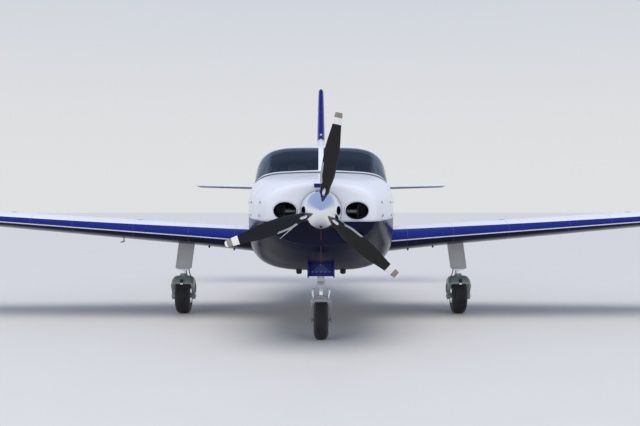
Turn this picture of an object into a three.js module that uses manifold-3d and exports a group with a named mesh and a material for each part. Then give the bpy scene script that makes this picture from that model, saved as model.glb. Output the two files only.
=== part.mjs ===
// Single-engine, low-wing light aircraft with retractable tricycle gear, parked on its wheels.
// Millimetres, +Z up, nose towards -Y, port side +X. The origin is on the ground under the middle.
// A station is the distance aft of the spinner's tip: y = station - LENGTH / 2.
import * as THREE from 'three';
import { mergeVertices } from 'three/addons/utils/BufferGeometryUtils.js';
import Module from 'manifold-3d';

const wasm = await Module();
wasm.setup();

// Driving dimensions
const LENGTH = 8600;
const GAP = 0.3;
const PROP_STATION = 250;
const PROP_RADIUS = 948;
const THRUST_Z = 1340;
const SPINNER_RADIUS = 194;
const SPINNER_LENGTH = 392;
const COWL_FRONT = 420;
const FIREWALL = 1900;
const BULKHEAD = 5650;
const TAIL_END = 8310;
const WALL = 42;
const FLOOR_Z = 930;
const FLOOR_THICK = 30;
const FIREWALL_THICK = 30;
const BULKHEAD_THICK = 30;
const DIHEDRAL = THREE.MathUtils.degToRad(4.4);
const WING_ROOT_U = 600;
const WING_TIP_U = 6230;
const NOSE_GEAR = { station: 1150, tyreRadius: 200, tyreWidth: 156, trail: 40, bead: 68, pin: 13 };
const MAIN_GEAR = { station: 3450, x: 1772, tyreRadius: 222, tyreWidth: 190, bead: 78, pin: 20 };
// Clearance of a wheel's bore round its axle
const BORE = 1;

const y = (station) => station - LENGTH / 2;
const vec = (x, station, z) => new THREE.Vector3(x, y(station), z);

// Materials
const paint = (color, roughness = 0.25, metalness = 0.1) => (
  new THREE.MeshStandardMaterial({ color, roughness, metalness }));
const WHITE = paint(0xdfe4ec);
const BLUE = paint(0x12207c);
const NAVY = paint(0x0a0c22, 0.2);
const CHROME = paint(0xe6e8ea, 0.05, 1);
const BLACK = paint(0x121214, 0.4);
const STEEL = paint(0x9da2a4, 0.35, 0.9);
const CAST = paint(0x767c78, 0.55, 0.6);
const RUBBER = paint(0x141414, 0.85, 0);
const GLASS = paint(0x2c3440, 0.05, 0);
const LEATHER = paint(0xb9b2a6, 0.6, 0);
const PANEL = paint(0x26282c, 0.7, 0);
const LAMP = paint(0xc8332c, 0.15, 0);

// Solids and booleans
const toSolid = (geometry) => {
  const bare = geometry.clone();
  bare.deleteAttribute('normal');
  bare.deleteAttribute('uv');
  const merged = mergeVertices(bare, 1e-3);
  const vertProperties = new Float32Array(merged.attributes.position.array);
  const triVerts = new Uint32Array(merged.index.array);
  return new wasm.Manifold(new wasm.Mesh({ numProp: 3, vertProperties, triVerts }));
};
const toGeometry = (solid) => {
  const mesh = solid.getMesh();
  const geometry = new THREE.BufferGeometry();
  geometry.setAttribute('position', new THREE.BufferAttribute(mesh.vertProperties, 3));
  geometry.setIndex(new THREE.BufferAttribute(mesh.triVerts, 1));
  return geometry;
};
const join = (...solids) => solids.reduce((whole, solid) => whole.add(solid));
const mirrorX = (solid) => solid.mirror([1, 0, 0]);
const both = (solid) => solid.add(mirrorX(solid));

const aircraft = new THREE.Group();
const place = (name, solid, material) => {
  const mesh = new THREE.Mesh(toGeometry(solid), material);
  mesh.name = name;
  aircraft.add(mesh);
};

// Closed skin over rings of points, all rings having the same number of points.
const skin = (rings) => {
  const count = rings[0].length;
  const positions = rings.flat().flatMap((point) => [point.x, point.y, point.z]);
  const faces = [];
  for (let ring = 0; ring < rings.length - 1; ring += 1) {
    for (let i = 0; i < count; i += 1) {
      const a = ring * count + i;
      const b = ring * count + ((i + 1) % count);
      faces.push(a, a + count, b, b, a + count, b + count);
    }
  }
  [0, rings.length - 1].forEach((ring, end) => {
    const middle = new THREE.Vector3();
    rings[ring].forEach((point) => middle.addScaledVector(point, 1 / count));
    const centre = positions.length / 3;
    positions.push(middle.x, middle.y, middle.z);
    for (let i = 0; i < count; i += 1) {
      const a = ring * count + i;
      const b = ring * count + ((i + 1) % count);
      faces.push(...(end ? [a, centre, b] : [b, centre, a]));
    }
  });
  const geometry = new THREE.BufferGeometry();
  geometry.setAttribute('position', new THREE.Float32BufferAttribute(positions, 3));
  geometry.setIndex(faces);
  const solid = toSolid(geometry);
  return solid.volume() >= 0 ? solid : toSolid(flipped(geometry));
};
const flipped = (geometry) => {
  const turned = geometry.clone();
  const order = [...geometry.index.array];
  for (let i = 0; i < order.length; i += 3) [order[i], order[i + 1]] = [order[i + 1], order[i]];
  turned.setIndex(order);
  return turned;
};

// Plain shapes, placed by lowest and highest corner or by two ends
const block = (low, high) => {
  const size = high.clone().sub(low);
  const shape = new THREE.BoxGeometry(size.x, size.y, size.z);
  shape.translate(low.x + size.x / 2, low.y + size.y / 2, low.z + size.z / 2);
  return toSolid(shape);
};
const rod = (start, end, radius, endRadius = radius, sides = 14) => {
  const way = end.clone().sub(start);
  const shape = new THREE.CylinderGeometry(endRadius, radius, way.length(), sides);
  shape.applyQuaternion(new THREE.Quaternion().setFromUnitVectors(
    new THREE.Vector3(0, 1, 0), way.clone().normalize()));
  const middle = start.clone().add(end).multiplyScalar(0.5);
  shape.translate(middle.x, middle.y, middle.z);
  return toSolid(shape);
};
// Lathe about a line along +X through a centre, from [offset along X, radius] pairs
const turnedAboutX = (profile, centre, sides) => {
  const shape = new THREE.LatheGeometry(profile.map(([along, r]) => new THREE.Vector2(r, along)), sides);
  shape.rotateZ(-Math.PI / 2);
  shape.translate(centre.x, centre.y, centre.z);
  const solid = toSolid(shape);
  return solid.volume() >= 0 ? solid : toSolid(flipped(shape));
};
// Prism of a closed outline, along X (outline in y, z) or along Y (outline in x, z)
const prism = (outline, along, from, to) => {
  const shape = new THREE.ExtrudeGeometry(outline, { depth: to - from, bevelEnabled: false,
    curveSegments: 3 });
  if (along === 'x') {
    shape.applyMatrix4(new THREE.Matrix4().makeBasis(new THREE.Vector3(0, 1, 0),
      new THREE.Vector3(0, 0, 1), new THREE.Vector3(1, 0, 0)));
    shape.translate(from, 0, 0);
  } else {
    shape.applyMatrix4(new THREE.Matrix4().makeBasis(new THREE.Vector3(1, 0, 0),
      new THREE.Vector3(0, 0, 1), new THREE.Vector3(0, -1, 0)));
    shape.translate(0, to, 0);
  }
  return toSolid(shape);
};
// Outline with rounded corners through the given corners
const roundedOutline = (corners, radius) => {
  const shape = new THREE.Shape();
  corners.forEach((corner, i) => {
    const before = corners[(i + corners.length - 1) % corners.length];
    const after = corners[(i + 1) % corners.length];
    const inward = before.clone().sub(corner).setLength(radius).add(corner);
    const outward = after.clone().sub(corner).setLength(radius).add(corner);
    if (i === 0) shape.moveTo(inward.x, inward.y);
    else shape.lineTo(inward.x, inward.y);
    shape.quadraticCurveTo(corner.x, corner.y, outward.x, outward.y);
  });
  shape.closePath();
  return shape;
};
const corner = (a, b) => new THREE.Vector2(a, b);
const roundedBox = (a0, b0, a1, b1, radius) => roundedOutline(
  [corner(a0, b0), corner(a1, b0), corner(a1, b1), corner(a0, b1)], radius);

// Fuselage sections: station, half width, top z, widest z, bottom z, upper and lower squareness
const FUSELAGE = [
  [420, 500, 1590, 1340, 1045, 2.4, 2.4],
  [470, 540, 1612, 1338, 1005, 2.5, 2.5],
  [620, 600, 1638, 1330, 925, 2.6, 2.6],
  [1000, 695, 1674, 1305, 790, 3.0, 3.0],
  [1450, 765, 1706, 1280, 705, 3.8, 3.4],
  [1900, 800, 1738, 1262, 670, 4.6, 3.5],
  [2250, 803, 1768, 1260, 664, 4.8, 3.5],
  [2520, 803, 1945, 1260, 664, 4.8, 3.5],
  [2760, 803, 2082, 1260, 664, 4.9, 3.5],
  [3150, 803, 2140, 1260, 666, 4.9, 3.5],
  [4400, 800, 2140, 1262, 672, 4.1, 3.4],
  [5380, 800, 2140, 1262, 672, 4.1, 3.4],
  [5650, 775, 2116, 1285, 712, 3.3, 3.1],
  [6500, 560, 2000, 1395, 930, 2.4, 2.4],
  [7300, 365, 1905, 1480, 1165, 2.2, 2.2],
  [7900, 215, 1835, 1550, 1330, 2.1, 2.1],
  [8310, 92, 1775, 1605, 1450, 2.0, 2.0],
].map(([station, half, top, widest, bottom, upper, lower]) => (
  { station, half, top, widest, bottom, upper, lower }));
const SECTION_POINTS = 28;

const sectionAt = (station) => {
  const last = FUSELAGE.length - 1;
  const next = FUSELAGE.findIndex((row) => row.station >= station - 1e-6);
  const after = Math.max(next < 0 ? last : next, 1);
  const [from, to] = [FUSELAGE[after - 1], FUSELAGE[after]];
  const t = (station - from.station) / (to.station - from.station);
  return Object.fromEntries(Object.keys(from).map((key) => [key, from[key] + (to[key] - from[key]) * t]));
};
const fuselageRing = (station, inset) => {
  const row = sectionAt(station);
  const bottom = row.bottom + inset;
  return Array.from({ length: SECTION_POINTS }, (_, i) => {
    const angle = (i / SECTION_POINTS) * 2 * Math.PI;
    const [c, s] = [Math.cos(angle), Math.sin(angle)];
    const power = 2 / (s >= 0 ? row.upper : row.lower);
    const height = s >= 0 ? row.top - inset - row.widest : row.widest - bottom;
    return vec(Math.sign(c) * Math.abs(c) ** power * (row.half - inset), station,
      row.widest + Math.sign(s) * Math.abs(s) ** power * height);
  });
};
const fuselage = (from, to, inset) => {
  const inner = FUSELAGE.map((row) => row.station).filter((s) => s > from + 1 && s < to - 1);
  return skin([from, ...inner, to].map((station) => fuselageRing(station, inset)));
};

// Wing sections in the wing's own plane: u along the span, leading edge station, chord, thickness
const WING = [
  { u: WING_ROOT_U, lead: 2620, chord: 1900, thick: 325 },
  { u: 1000, lead: 2720, chord: 1740, thick: 302 },
  { u: 1500, lead: 2790, chord: 1590, thick: 274 },
  { u: 5900, lead: 2980, chord: 900, thick: 138 },
  { u: 6120, lead: 3020, chord: 830, thick: 106 },
  { u: WING_TIP_U, lead: 3120, chord: 640, thick: 38 },
];
const WING_ROOT_Z = 952;
const WING_INCIDENCE = THREE.MathUtils.degToRad(3.5);
const WING_CAMBER = 0.12;
const AIRFOIL_STEPS = 8;

// Half thickness of a four-digit section at a share of the chord, closed at the trailing edge
const halfThickness = (x) => 5 * (0.2969 * Math.sqrt(x) - 0.126 * x - 0.3516 * x ** 2
  + 0.2843 * x ** 3 - 0.1036 * x ** 4);
const airfoil = (chord, thick, camber) => {
  const upper = Array.from({ length: AIRFOIL_STEPS + 1 }, (_, i) => (
    0.5 * (1 - Math.cos((i / AIRFOIL_STEPS) * Math.PI))));
  const edge = 2;
  const heightAt = (x, side) => camber * thick * 4 * x * (1 - x)
    + side * (halfThickness(x) * thick + edge * x);
  return [...upper.map((x) => [x * chord, heightAt(x, 1)]),
    ...upper.slice(1).reverse().map((x) => [x * chord, heightAt(x, -1)])];
};
const wingPoint = (u, station, height) => new THREE.Vector3(
  u * Math.cos(DIHEDRAL) - height * Math.sin(DIHEDRAL), y(station),
  WING_ROOT_Z - WING_ROOT_U * Math.tan(DIHEDRAL) + u * Math.sin(DIHEDRAL) + height * Math.cos(DIHEDRAL));
const wingSectionAt = (u) => {
  const after = Math.max(WING.findIndex((row) => row.u >= u), 1);
  const [from, to] = [WING[after - 1], WING[after]];
  const t = (u - from.u) / (to.u - from.u);
  return Object.fromEntries(Object.keys(from).map((key) => [key, from[key] + (to[key] - from[key]) * t]));
};
const wingRing = ({ u, lead, chord, thick }) => (
  airfoil(chord, thick, WING_CAMBER).map(([along, height]) => (
    wingPoint(u, lead + along, height - along * Math.tan(WING_INCIDENCE)))));

// A control surface turns about a line at a share of the chord; its nose is round about that line.
const FLAP = { from: 1080, to: 3560, hinge: 0.74, gap: 12 };
const AILERON = { from: 3590, to: 5860, hinge: 0.76, gap: 9 };
const hingeOnWing = (u, share) => {
  const row = wingSectionAt(u);
  const along = row.chord * share;
  const middle = WING_CAMBER * row.thick * 4 * share * (1 - share)
    - along * Math.tan(WING_INCIDENCE);
  return { centre: wingPoint(u, row.lead + along, middle), radius: halfThickness(share) * row.thick };
};
const REACH = 1200;
const NOSE_STEPS = 7;
// Round nose ahead of the hinge line, open rearwards past the trailing edge
const controlSpace = (ends, up, margin) => skin(ends.map(({ centre, radius }) => {
  const ring = Array.from({ length: NOSE_STEPS + 1 }, (_, i) => {
    const angle = Math.PI / 2 + (i / NOSE_STEPS) * Math.PI;
    const r = (radius + margin) * (margin > 0 ? 1 : 0.97);
    return centre.clone().addScaledVector(up, r * Math.sin(angle))
      .add(new THREE.Vector3(0, r * Math.cos(angle), 0));
  });
  const tall = (side) => centre.clone().addScaledVector(up, side * REACH / 4)
    .add(new THREE.Vector3(0, REACH, 0));
  const flare = (side) => centre.clone().addScaledVector(up, side * REACH / 4)
    .add(new THREE.Vector3(0, radius + margin, 0));
  return [...ring, flare(-1), tall(-1), tall(1), flare(1)];
}));
const WING_UP = new THREE.Vector3(-Math.sin(DIHEDRAL), 0, Math.cos(DIHEDRAL));
const wingControl = ({ from, to, hinge, gap }, wing) => {
  const ends = (spread) => [hingeOnWing(from - spread, hinge), hingeOnWing(to + spread, hinge)];
  return {
    surface: wing.intersect(controlSpace(ends(0), WING_UP, 0)),
    space: controlSpace(ends(gap), WING_UP, gap),
  };
};

// Undercarriage: tyre, wheel and the inverted fork that holds them
const tyre = (centre, radius, width, bead, sides) => {
  const half = width / 2;
  const profile = [[-half * 0.55, bead], [-half * 0.86, bead + 14], [-half, (radius + bead) / 2],
    [-half * 0.86, radius - 22], [-half * 0.45, radius - 3], [0, radius], [half * 0.45, radius - 3],
    [half * 0.86, radius - 22], [half, (radius + bead) / 2], [half * 0.86, bead + 14],
    [half * 0.55, bead], [-half * 0.55, bead]];
  return turnedAboutX(profile, centre, sides);
};
const wheel = (centre, width, bead, bore, sides) => {
  const half = width / 2;
  const rim = bead - GAP;
  const profile = [[-half * 0.5, bore], [-half * 0.5, bore + 22], [-half * 0.2, bore + 26],
    [-half * 0.54, rim - 9], [-half * 0.54, rim], [half * 0.54, rim],
    [half * 0.54, rim - 9], [half * 0.2, bore + 26], [half * 0.5, bore + 22],
    [half * 0.5, bore], [-half * 0.5, bore]];
  return turnedAboutX(profile, centre, sides);
};
// Fork as a hood about the axle: arms narrow at the axle, crown swept ahead and behind in degrees.
// Its inner and outer radius are measured from the axle's line, its half width across the arms.
const FORK_STEPS = 6;
const FORK_NUT = 12;
const fork = (axle, { half, arm, inner, outer, shoulder, ahead, behind, foot, pin }) => {
  const crown = Array.from({ length: FORK_STEPS + 1 }, (_, i) => {
    const angle = THREE.MathUtils.degToRad(-ahead + ((ahead + behind) * i) / FORK_STEPS);
    return corner(axle.y + outer * Math.sin(angle), axle.z + outer * Math.cos(angle));
  });
  const side = new THREE.Shape([corner(axle.y + foot, axle.z - foot),
    corner(axle.y - foot, axle.z - foot), ...crown]);
  const front = roundedBox(axle.x - half, axle.z - foot - shoulder, axle.x + half,
    axle.z + outer, shoulder);
  const across = (reach) => [-1, 1].map((way) => (
    axle.clone().add(new THREE.Vector3(way * reach, 0, 0))));
  const body = prism(front, 'y', axle.y - outer, axle.y + outer)
    .intersect(prism(side, 'x', axle.x - half, axle.x + half))
    .subtract(rod(...across(half - arm), inner, inner, 36));
  return join(body, rod(...across(half + FORK_NUT), pin));
};

// Cabin shell: firewall, walls, floor and rear bulkhead in one pressure cabin
const cabinOuter = fuselage(FIREWALL, BULKHEAD, 0);
const cabinInner = fuselage(FIREWALL + FIREWALL_THICK, BULKHEAD - BULKHEAD_THICK, WALL);
const PANE = { inset: 4, thick: 12 };
const paneBand = fuselage(FIREWALL, BULKHEAD, PANE.inset)
  .subtract(fuselage(FIREWALL - 1, BULKHEAD + 1, PANE.inset + PANE.thick));

// Windshield outline from ahead (x, z) and from the side (y, z): centre post, wrapped outer corner
const windshieldFront = (inset) => roundedOutline([corner(30 + inset, 1782 + inset),
  corner(420, 1752 + inset), corner(800 - inset, 1640 + inset), corner(800 - inset, 1960 - inset),
  corner(470, 2110 - inset), corner(30 + inset, 2122 - inset)], 40);
const windshieldSide = (inset) => roundedOutline([corner(y(2180), 1500), corner(y(2700) - inset, 1600),
  corner(y(2830) - inset, 2160), corner(y(2180), 2160)], 20);
const windshieldSpace = (inset) => prism(windshieldFront(inset), 'y', y(2150), y(3000))
  .intersect(prism(windshieldSide(inset), 'x', 0, 900));

// Side windows as station from, to, bottom z, top z, and sides: 1 port, -1 starboard
const SIDE_WINDOWS = [
  { from: 3480, to: 3880, low: 1590, high: 1945, sides: [1, -1] },
  { from: 4080, to: 4460, low: 1590, high: 1945, sides: [1, -1] },
  { from: 4830, to: 5180, low: 1590, high: 1935, sides: [-1] },
];
const COCKPIT_WINDOW = [[2790, 1600], [3280, 1585], [3300, 1950], [2910, 2010]];
const DOOR = { from: 4680, to: 5320, low: 952, split: 1452, high: 1990, round: 70, gap: 7 };
const DOOR_WINDOW = { from: 4830, to: 5180, low: 1590, high: 1900 };
// Cuts in the cabin's side run between these distances from the middle
const SIDE_CUT = { from: 400, doorFrom: 300, to: 900 };
const windowSpace = (row, side, inset) => {
  const outline = roundedBox(y(row.from) + inset, row.low + inset, y(row.to) - inset,
    row.high - inset, 90);
  return side > 0 ? prism(outline, 'x', SIDE_CUT.from, SIDE_CUT.to)
    : prism(outline, 'x', -SIDE_CUT.to, -SIDE_CUT.from);
};
const cockpitWindowSpace = (inset) => {
  const middle = corner(y(3070), 1790);
  const corners = COCKPIT_WINDOW.map(([station, z]) => {
    const point = corner(y(station), z);
    return point.add(middle.clone().sub(point).setLength(inset * 1.5));
  });
  return prism(roundedOutline(corners, 60), 'x', SIDE_CUT.from, SIDE_CUT.to);
};
const doorOutline = (inset, low, high) => roundedBox(y(DOOR.from) + inset, low + inset,
  y(DOOR.to) - inset, high - inset, DOOR.round);
const doorSpace = prism(doorOutline(-DOOR.gap, DOOR.low, DOOR.high), 'x', SIDE_CUT.doorFrom,
  SIDE_CUT.to);

const windowSpaces = (inset) => join(both(windshieldSpace(inset)), both(cockpitWindowSpace(inset)),
  ...SIDE_WINDOWS.flatMap((row) => row.sides.map((side) => windowSpace(row, side, inset))));
const cabinShell = cabinOuter.subtract(cabinInner).subtract(windowSpaces(0)).subtract(doorSpace);

// Wing, cut where the fuselage skin, the wheel well and the leg pocket are
const fuselageSpace = fuselage(COWL_FRONT, TAIL_END, -GAP);
const wingWhole = skin(WING.map(wingRing));
const flap = wingControl(FLAP, wingWhole);
const aileron = wingControl(AILERON, wingWhole);
const mainAxle = vec(MAIN_GEAR.x, MAIN_GEAR.station, MAIN_GEAR.tyreRadius);
const LEG_TOP = vec(MAIN_GEAR.x - 75, MAIN_GEAR.station, 1080);
const LEG_LOW = vec(MAIN_GEAR.x - 4, MAIN_GEAR.station, 556);
const LEG_POCKET = 66;
const WHEEL_WELL = { x: 1120, radius: 250, top: 1050, trough: 62, troughTop: 1030, low: 600 };
const wheelWell = rod(vec(WHEEL_WELL.x, MAIN_GEAR.station, WHEEL_WELL.low),
  vec(WHEEL_WELL.x, MAIN_GEAR.station, WHEEL_WELL.top), WHEEL_WELL.radius, WHEEL_WELL.radius, 28)
  .add(block(vec(WHEEL_WELL.x, MAIN_GEAR.station - WHEEL_WELL.trough, WHEEL_WELL.low),
    vec(LEG_TOP.x, MAIN_GEAR.station + WHEEL_WELL.trough, WHEEL_WELL.troughTop)));
const legWay = LEG_TOP.clone().sub(LEG_LOW).normalize();
const legPocket = rod(LEG_TOP.clone().addScaledVector(legWay, GAP), LEG_LOW.clone().lerp(LEG_TOP, 0.2),
  LEG_POCKET);
const wing = wingWhole.subtract(flap.space).subtract(aileron.space).subtract(wheelWell)
  .subtract(legPocket).subtract(fuselageSpace);

// Tail surfaces: fin and rudder upright, tailplane and elevators across
const FIN = [
  { z: 1740, lead: 7180, trail: 8600, thick: 110 },
  { z: 1960, lead: 7420, trail: 8600, thick: 150 },
  { z: 2140, lead: 7600, trail: 8598, thick: 146 },
  { z: 3400, lead: 8010, trail: 8570, thick: 92 },
  { z: 3490, lead: 8080, trail: 8555, thick: 66 },
];
const RUDDER = { hingeLow: [1560, 8352], hingeHigh: [3500, 8412], radiusLow: 44, radiusHigh: 24, gap: 8 };
const TAILPLANE = [
  { u: -6, lead: 7700, chord: 880, thick: 100 },
  { u: 2150, lead: 7905, chord: 590, thick: 66 },
  { u: 2250, lead: 7960, chord: 500, thick: 36 },
];
const TAILPLANE_Z = 1690;
const TAIL_DIHEDRAL = THREE.MathUtils.degToRad(1.4);
const ELEVATOR = { from: 245, to: 2160, hinge: 8290, gap: 8 };

const finRing = ({ z, lead, trail, thick }) => airfoil(trail - lead, thick, 0).map(([along, side]) => (
  vec(side, lead + along, z)));
const rudderSpace = (margin) => skin([[RUDDER.hingeLow, RUDDER.radiusLow, -margin],
  [RUDDER.hingeHigh, RUDDER.radiusHigh, margin]].map(([[level, station], radius, beyond]) => {
  const z = level + beyond;
  const arc = Array.from({ length: NOSE_STEPS + 1 }, (_, i) => {
    const angle = Math.PI / 2 + (i / NOSE_STEPS) * Math.PI;
    return vec((radius + margin) * Math.sin(angle), station + (radius + margin) * Math.cos(angle), z);
  });
  return [...arc, vec(-REACH / 8, station + radius, z), vec(-REACH / 8, station + REACH, z),
    vec(REACH / 8, station + REACH, z), vec(REACH / 8, station + radius, z)];
}));
// The rudder runs down behind the tail cone's end
const RUDDER_FOOT = [
  { z: 1560, lead: 8240, trail: 8560, thick: 84 },
  { z: 1740, lead: 7900, trail: 8600, thick: 110 },
];
const rudder = join(skin(FIN.map(finRing)), skin(RUDDER_FOOT.map(finRing)))
  .intersect(rudderSpace(0));
const tailPoint = (u, station, height) => new THREE.Vector3(
  u * Math.cos(TAIL_DIHEDRAL) - height * Math.sin(TAIL_DIHEDRAL), y(station),
  TAILPLANE_Z + u * Math.sin(TAIL_DIHEDRAL) + height * Math.cos(TAIL_DIHEDRAL));
const tailHalf = skin(TAILPLANE.map(({ u, lead, chord, thick }) => (
  airfoil(chord, thick, 0).map(([along, height]) => tailPoint(u, lead + along, height)))));
const tailHinge = (u) => {
  const after = u > TAILPLANE[1].u ? 2 : 1;
  const [from, to] = [TAILPLANE[after - 1], TAILPLANE[after]];
  const t = (u - from.u) / (to.u - from.u);
  const [lead, chord, thick] = ['lead', 'chord', 'thick'].map((key) => from[key] + (to[key] - from[key]) * t);
  return { centre: tailPoint(u, ELEVATOR.hinge, 0),
    radius: halfThickness((ELEVATOR.hinge - lead) / chord) * thick + 2 };
};
const TAIL_UP = new THREE.Vector3(-Math.sin(TAIL_DIHEDRAL), 0, Math.cos(TAIL_DIHEDRAL));
const elevatorEnds = (spread) => [tailHinge(ELEVATOR.from - spread), tailHinge(ELEVATOR.to + spread)];
const elevator = tailHalf.intersect(controlSpace(elevatorEnds(0), TAIL_UP, 0));
const tailCut = tailHalf.subtract(controlSpace(elevatorEnds(ELEVATOR.gap), TAIL_UP, ELEVATOR.gap));
// Room behind the tailplane's middle, between the two elevators
const TAIL_CENTRE = { half: 240, ahead: 60, to: 8700, low: 1500, high: 1900 };
const tailCentreCut = block(vec(-TAIL_CENTRE.half, ELEVATOR.hinge - TAIL_CENTRE.ahead, TAIL_CENTRE.low),
  vec(TAIL_CENTRE.half, TAIL_CENTRE.to, TAIL_CENTRE.high));
const tailplane = both(tailCut).subtract(tailCentreCut);

const TAIL_SKIN = 14;
const tailConeShell = fuselage(BULKHEAD + GAP, TAIL_END, 0)
  .subtract(fuselage(BULKHEAD - 5, TAIL_END - 40, TAIL_SKIN));
const tailplaneSlot = both(skin(TAILPLANE.map(({ u, lead, chord, thick }) => (
  airfoil(chord + 3, thick + 2, 0).map(([along, height]) => tailPoint(u, lead - 1.5 + along, height))))));
const tailCone = tailConeShell.subtract(tailplaneSlot).subtract(rudderSpace(RUDDER.gap));
const fin = skin(FIN.map(finRing)).subtract(rudderSpace(RUDDER.gap)).subtract(fuselageSpace);

// Cowl in two halves round the engine, with two large inlets, two small ones and a nose gear well
const COWL_SKIN = 16;
const COWL_SPLIT = 1250;
const cowlShell = fuselage(COWL_FRONT, FIREWALL - GAP, 0)
  .subtract(fuselage(COWL_FRONT + 30, FIREWALL + 5, COWL_SKIN));
const ellipse = (x, z, a, b) => {
  const shape = new THREE.Shape();
  shape.absellipse(x, z, a, b, 0, 2 * Math.PI);
  return shape;
};
const INLET = { x: 342, z: 1338, halfWide: 114, halfTall: 86 };
const SMALL_INLET = { x: 172, z: 1345, halfWide: 17, halfTall: 35 };
const inlets = join(...[INLET, SMALL_INLET].map(({ x, z, halfWide, halfTall }) => (
  both(prism(ellipse(x, z, halfWide, halfTall), 'y', y(380), y(520))))));
const shaftHole = rod(vec(0, 380, THRUST_Z), vec(0, 520, THRUST_Z), 70);
const NOSE_WELL = { half: 122, from: 960, to: 1660 };
const noseWell = block(vec(-NOSE_WELL.half, NOSE_WELL.from, 600), vec(NOSE_WELL.half, NOSE_WELL.to, 1000));
const cowlSpace = (low, high) => block(vec(-1000, 300, low), vec(1000, 2000, high));
const cowlCut = cowlShell.subtract(inlets).subtract(shaftHole).subtract(noseWell);
const cowlUpper = cowlCut.intersect(cowlSpace(COWL_SPLIT + GAP, 2000));
const cowlLower = cowlCut.intersect(cowlSpace(0, COWL_SPLIT));
const ENGINE = { half: 380, from: 760, low: 1010, high: 1520 };
const engine = block(vec(-ENGINE.half, ENGINE.from, ENGINE.low),
  vec(ENGINE.half, FIREWALL - GAP, ENGINE.high));

// Propeller: pointed spinner on its shaft, three blades set in its wall
const BLADE_ANGLES = [0, 1, 2].map((blade) => 10.5 + blade * 120);
const SPINNER_STEPS = 8;
const spinnerProfile = [[0, 0], ...Array.from({ length: SPINNER_STEPS }, (_, i) => {
  const t = (i + 1) / SPINNER_STEPS;
  return [SPINNER_LENGTH * t ** 1.25, SPINNER_RADIUS * Math.sin(t * Math.PI / 2) ** 0.92];
})];
const spinnerBody = turnedAboutX([...spinnerProfile, [SPINNER_LENGTH, 0]], new THREE.Vector3(), 30)
  .rotate([0, 0, 90]).translate([0, y(0), THRUST_Z]);
const shaft = rod(vec(0, SPINNER_LENGTH - 5, THRUST_Z), vec(0, ENGINE.from - 0.5, THRUST_Z), 45);
// Blade stations: radius, chord, thickness, twist from the disc's plane in degrees
const BLADE = [
  [120, 84, 84, 40], [205, 100, 72, 38], [330, 160, 42, 33], [480, 160, 30, 27.5],
  [570, 156, 26, 25], [650, 137, 22, 22], [800, 92, 16, 18], [880, 80, 13, 16],
  [930, 66, 10, 15], [PROP_RADIUS, 34, 7, 15],
].map(([radius, chord, thick, twist]) => ({ radius, chord, thick, twist }));
const BLADE_POINTS = 12;
const bladeRing = ({ radius, chord, thick, twist }, margin = 0) => (
  Array.from({ length: BLADE_POINTS }, (_, i) => {
    const angle = (i / BLADE_POINTS) * 2 * Math.PI;
    const turn = THREE.MathUtils.degToRad(twist);
    const [a, b] = [Math.cos(angle) * (chord / 2 + margin), Math.sin(angle) * (thick / 2 + margin)];
    return new THREE.Vector3(a * Math.cos(turn) - b * Math.sin(turn),
      a * Math.sin(turn) + b * Math.cos(turn), radius);
  }));
const bladeAt = (degrees, margin) => skin(BLADE.map((row) => bladeRing(row, margin)))
  .rotate([0, degrees, 0]).translate([0, y(PROP_STATION), THRUST_Z]);
const bladeSocket = (degrees) => skin([{ ...BLADE[0], radius: BLADE[0].radius - GAP },
  BLADE[1], BLADE[2]].map(
  (row) => bladeRing(row, GAP))).rotate([0, degrees, 0]).translate([0, y(PROP_STATION), THRUST_Z]);
const spinner = BLADE_ANGLES.reduce((whole, angle) => whole.subtract(bladeSocket(angle)),
  join(spinnerBody, shaft));

// Hinge fittings: an arm from the fixed part to the axis, a pin, and the slot and bore around them
const HINGE = { armRadius: 7, slot: 14, pinRadius: 5, pinReach: 24, clear: 1, sides: 6 };
const hingeRod = (start, end, radius) => rod(start, end, radius, radius, HINGE.sides);
const hingeSlot = (centre, way, radius) => {
  const shape = new THREE.BoxGeometry(2 * HINGE.slot, radius * 1.9, radius * 4);
  shape.translate(0, -radius * 0.55, 0);
  shape.applyQuaternion(new THREE.Quaternion().setFromUnitVectors(new THREE.Vector3(1, 0, 0), way));
  shape.translate(centre.x, centre.y, centre.z);
  return toSolid(shape);
};
const hinges = (ends, shares, armLength) => {
  const [start, end] = ends.map((item) => item.centre);
  const way = end.clone().sub(start).normalize();
  const parts = shares.map((share) => {
    const centre = start.clone().lerp(end, share);
    const radius = ends[0].radius + (ends[1].radius - ends[0].radius) * share;
    const along = (reach) => centre.clone().addScaledVector(way, reach);
    const ahead = centre.clone().add(new THREE.Vector3(0, -radius - armLength, 0));
    return {
      fixed: join(hingeRod(centre, ahead, HINGE.armRadius),
        hingeRod(along(-HINGE.pinReach), along(HINGE.pinReach), HINGE.pinRadius)),
      cut: join(hingeSlot(centre, way, radius), hingeRod(along(-HINGE.pinReach - 1),
        along(HINGE.pinReach + 1), HINGE.pinRadius + HINGE.clear)),
    };
  });
  return { fixed: join(...parts.map((part) => part.fixed)), cut: join(...parts.map((part) => part.cut)) };
};
const flapHinges = hinges([hingeOnWing(FLAP.from, FLAP.hinge), hingeOnWing(FLAP.to, FLAP.hinge)],
  [0.12, 0.88], 30);
const aileronHinges = hinges([hingeOnWing(AILERON.from, AILERON.hinge),
  hingeOnWing(AILERON.to, AILERON.hinge)], [0.12, 0.88], 26);
const elevatorHinges = hinges(elevatorEnds(0), [0.1, 0.9], 22);
const rudderEnds = [[2000, 0], [3300, 0]].map(([z]) => {
  const t = (z - RUDDER.hingeLow[0]) / (RUDDER.hingeHigh[0] - RUDDER.hingeLow[0]);
  const mix = (from, to) => from + (to - from) * t;
  return { centre: vec(0, mix(RUDDER.hingeLow[1], RUDDER.hingeHigh[1]), z),
    radius: mix(RUDDER.radiusLow, RUDDER.radiusHigh) };
});
const rudderHinges = hinges(rudderEnds, [0.08, 0.92], 24);

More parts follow.
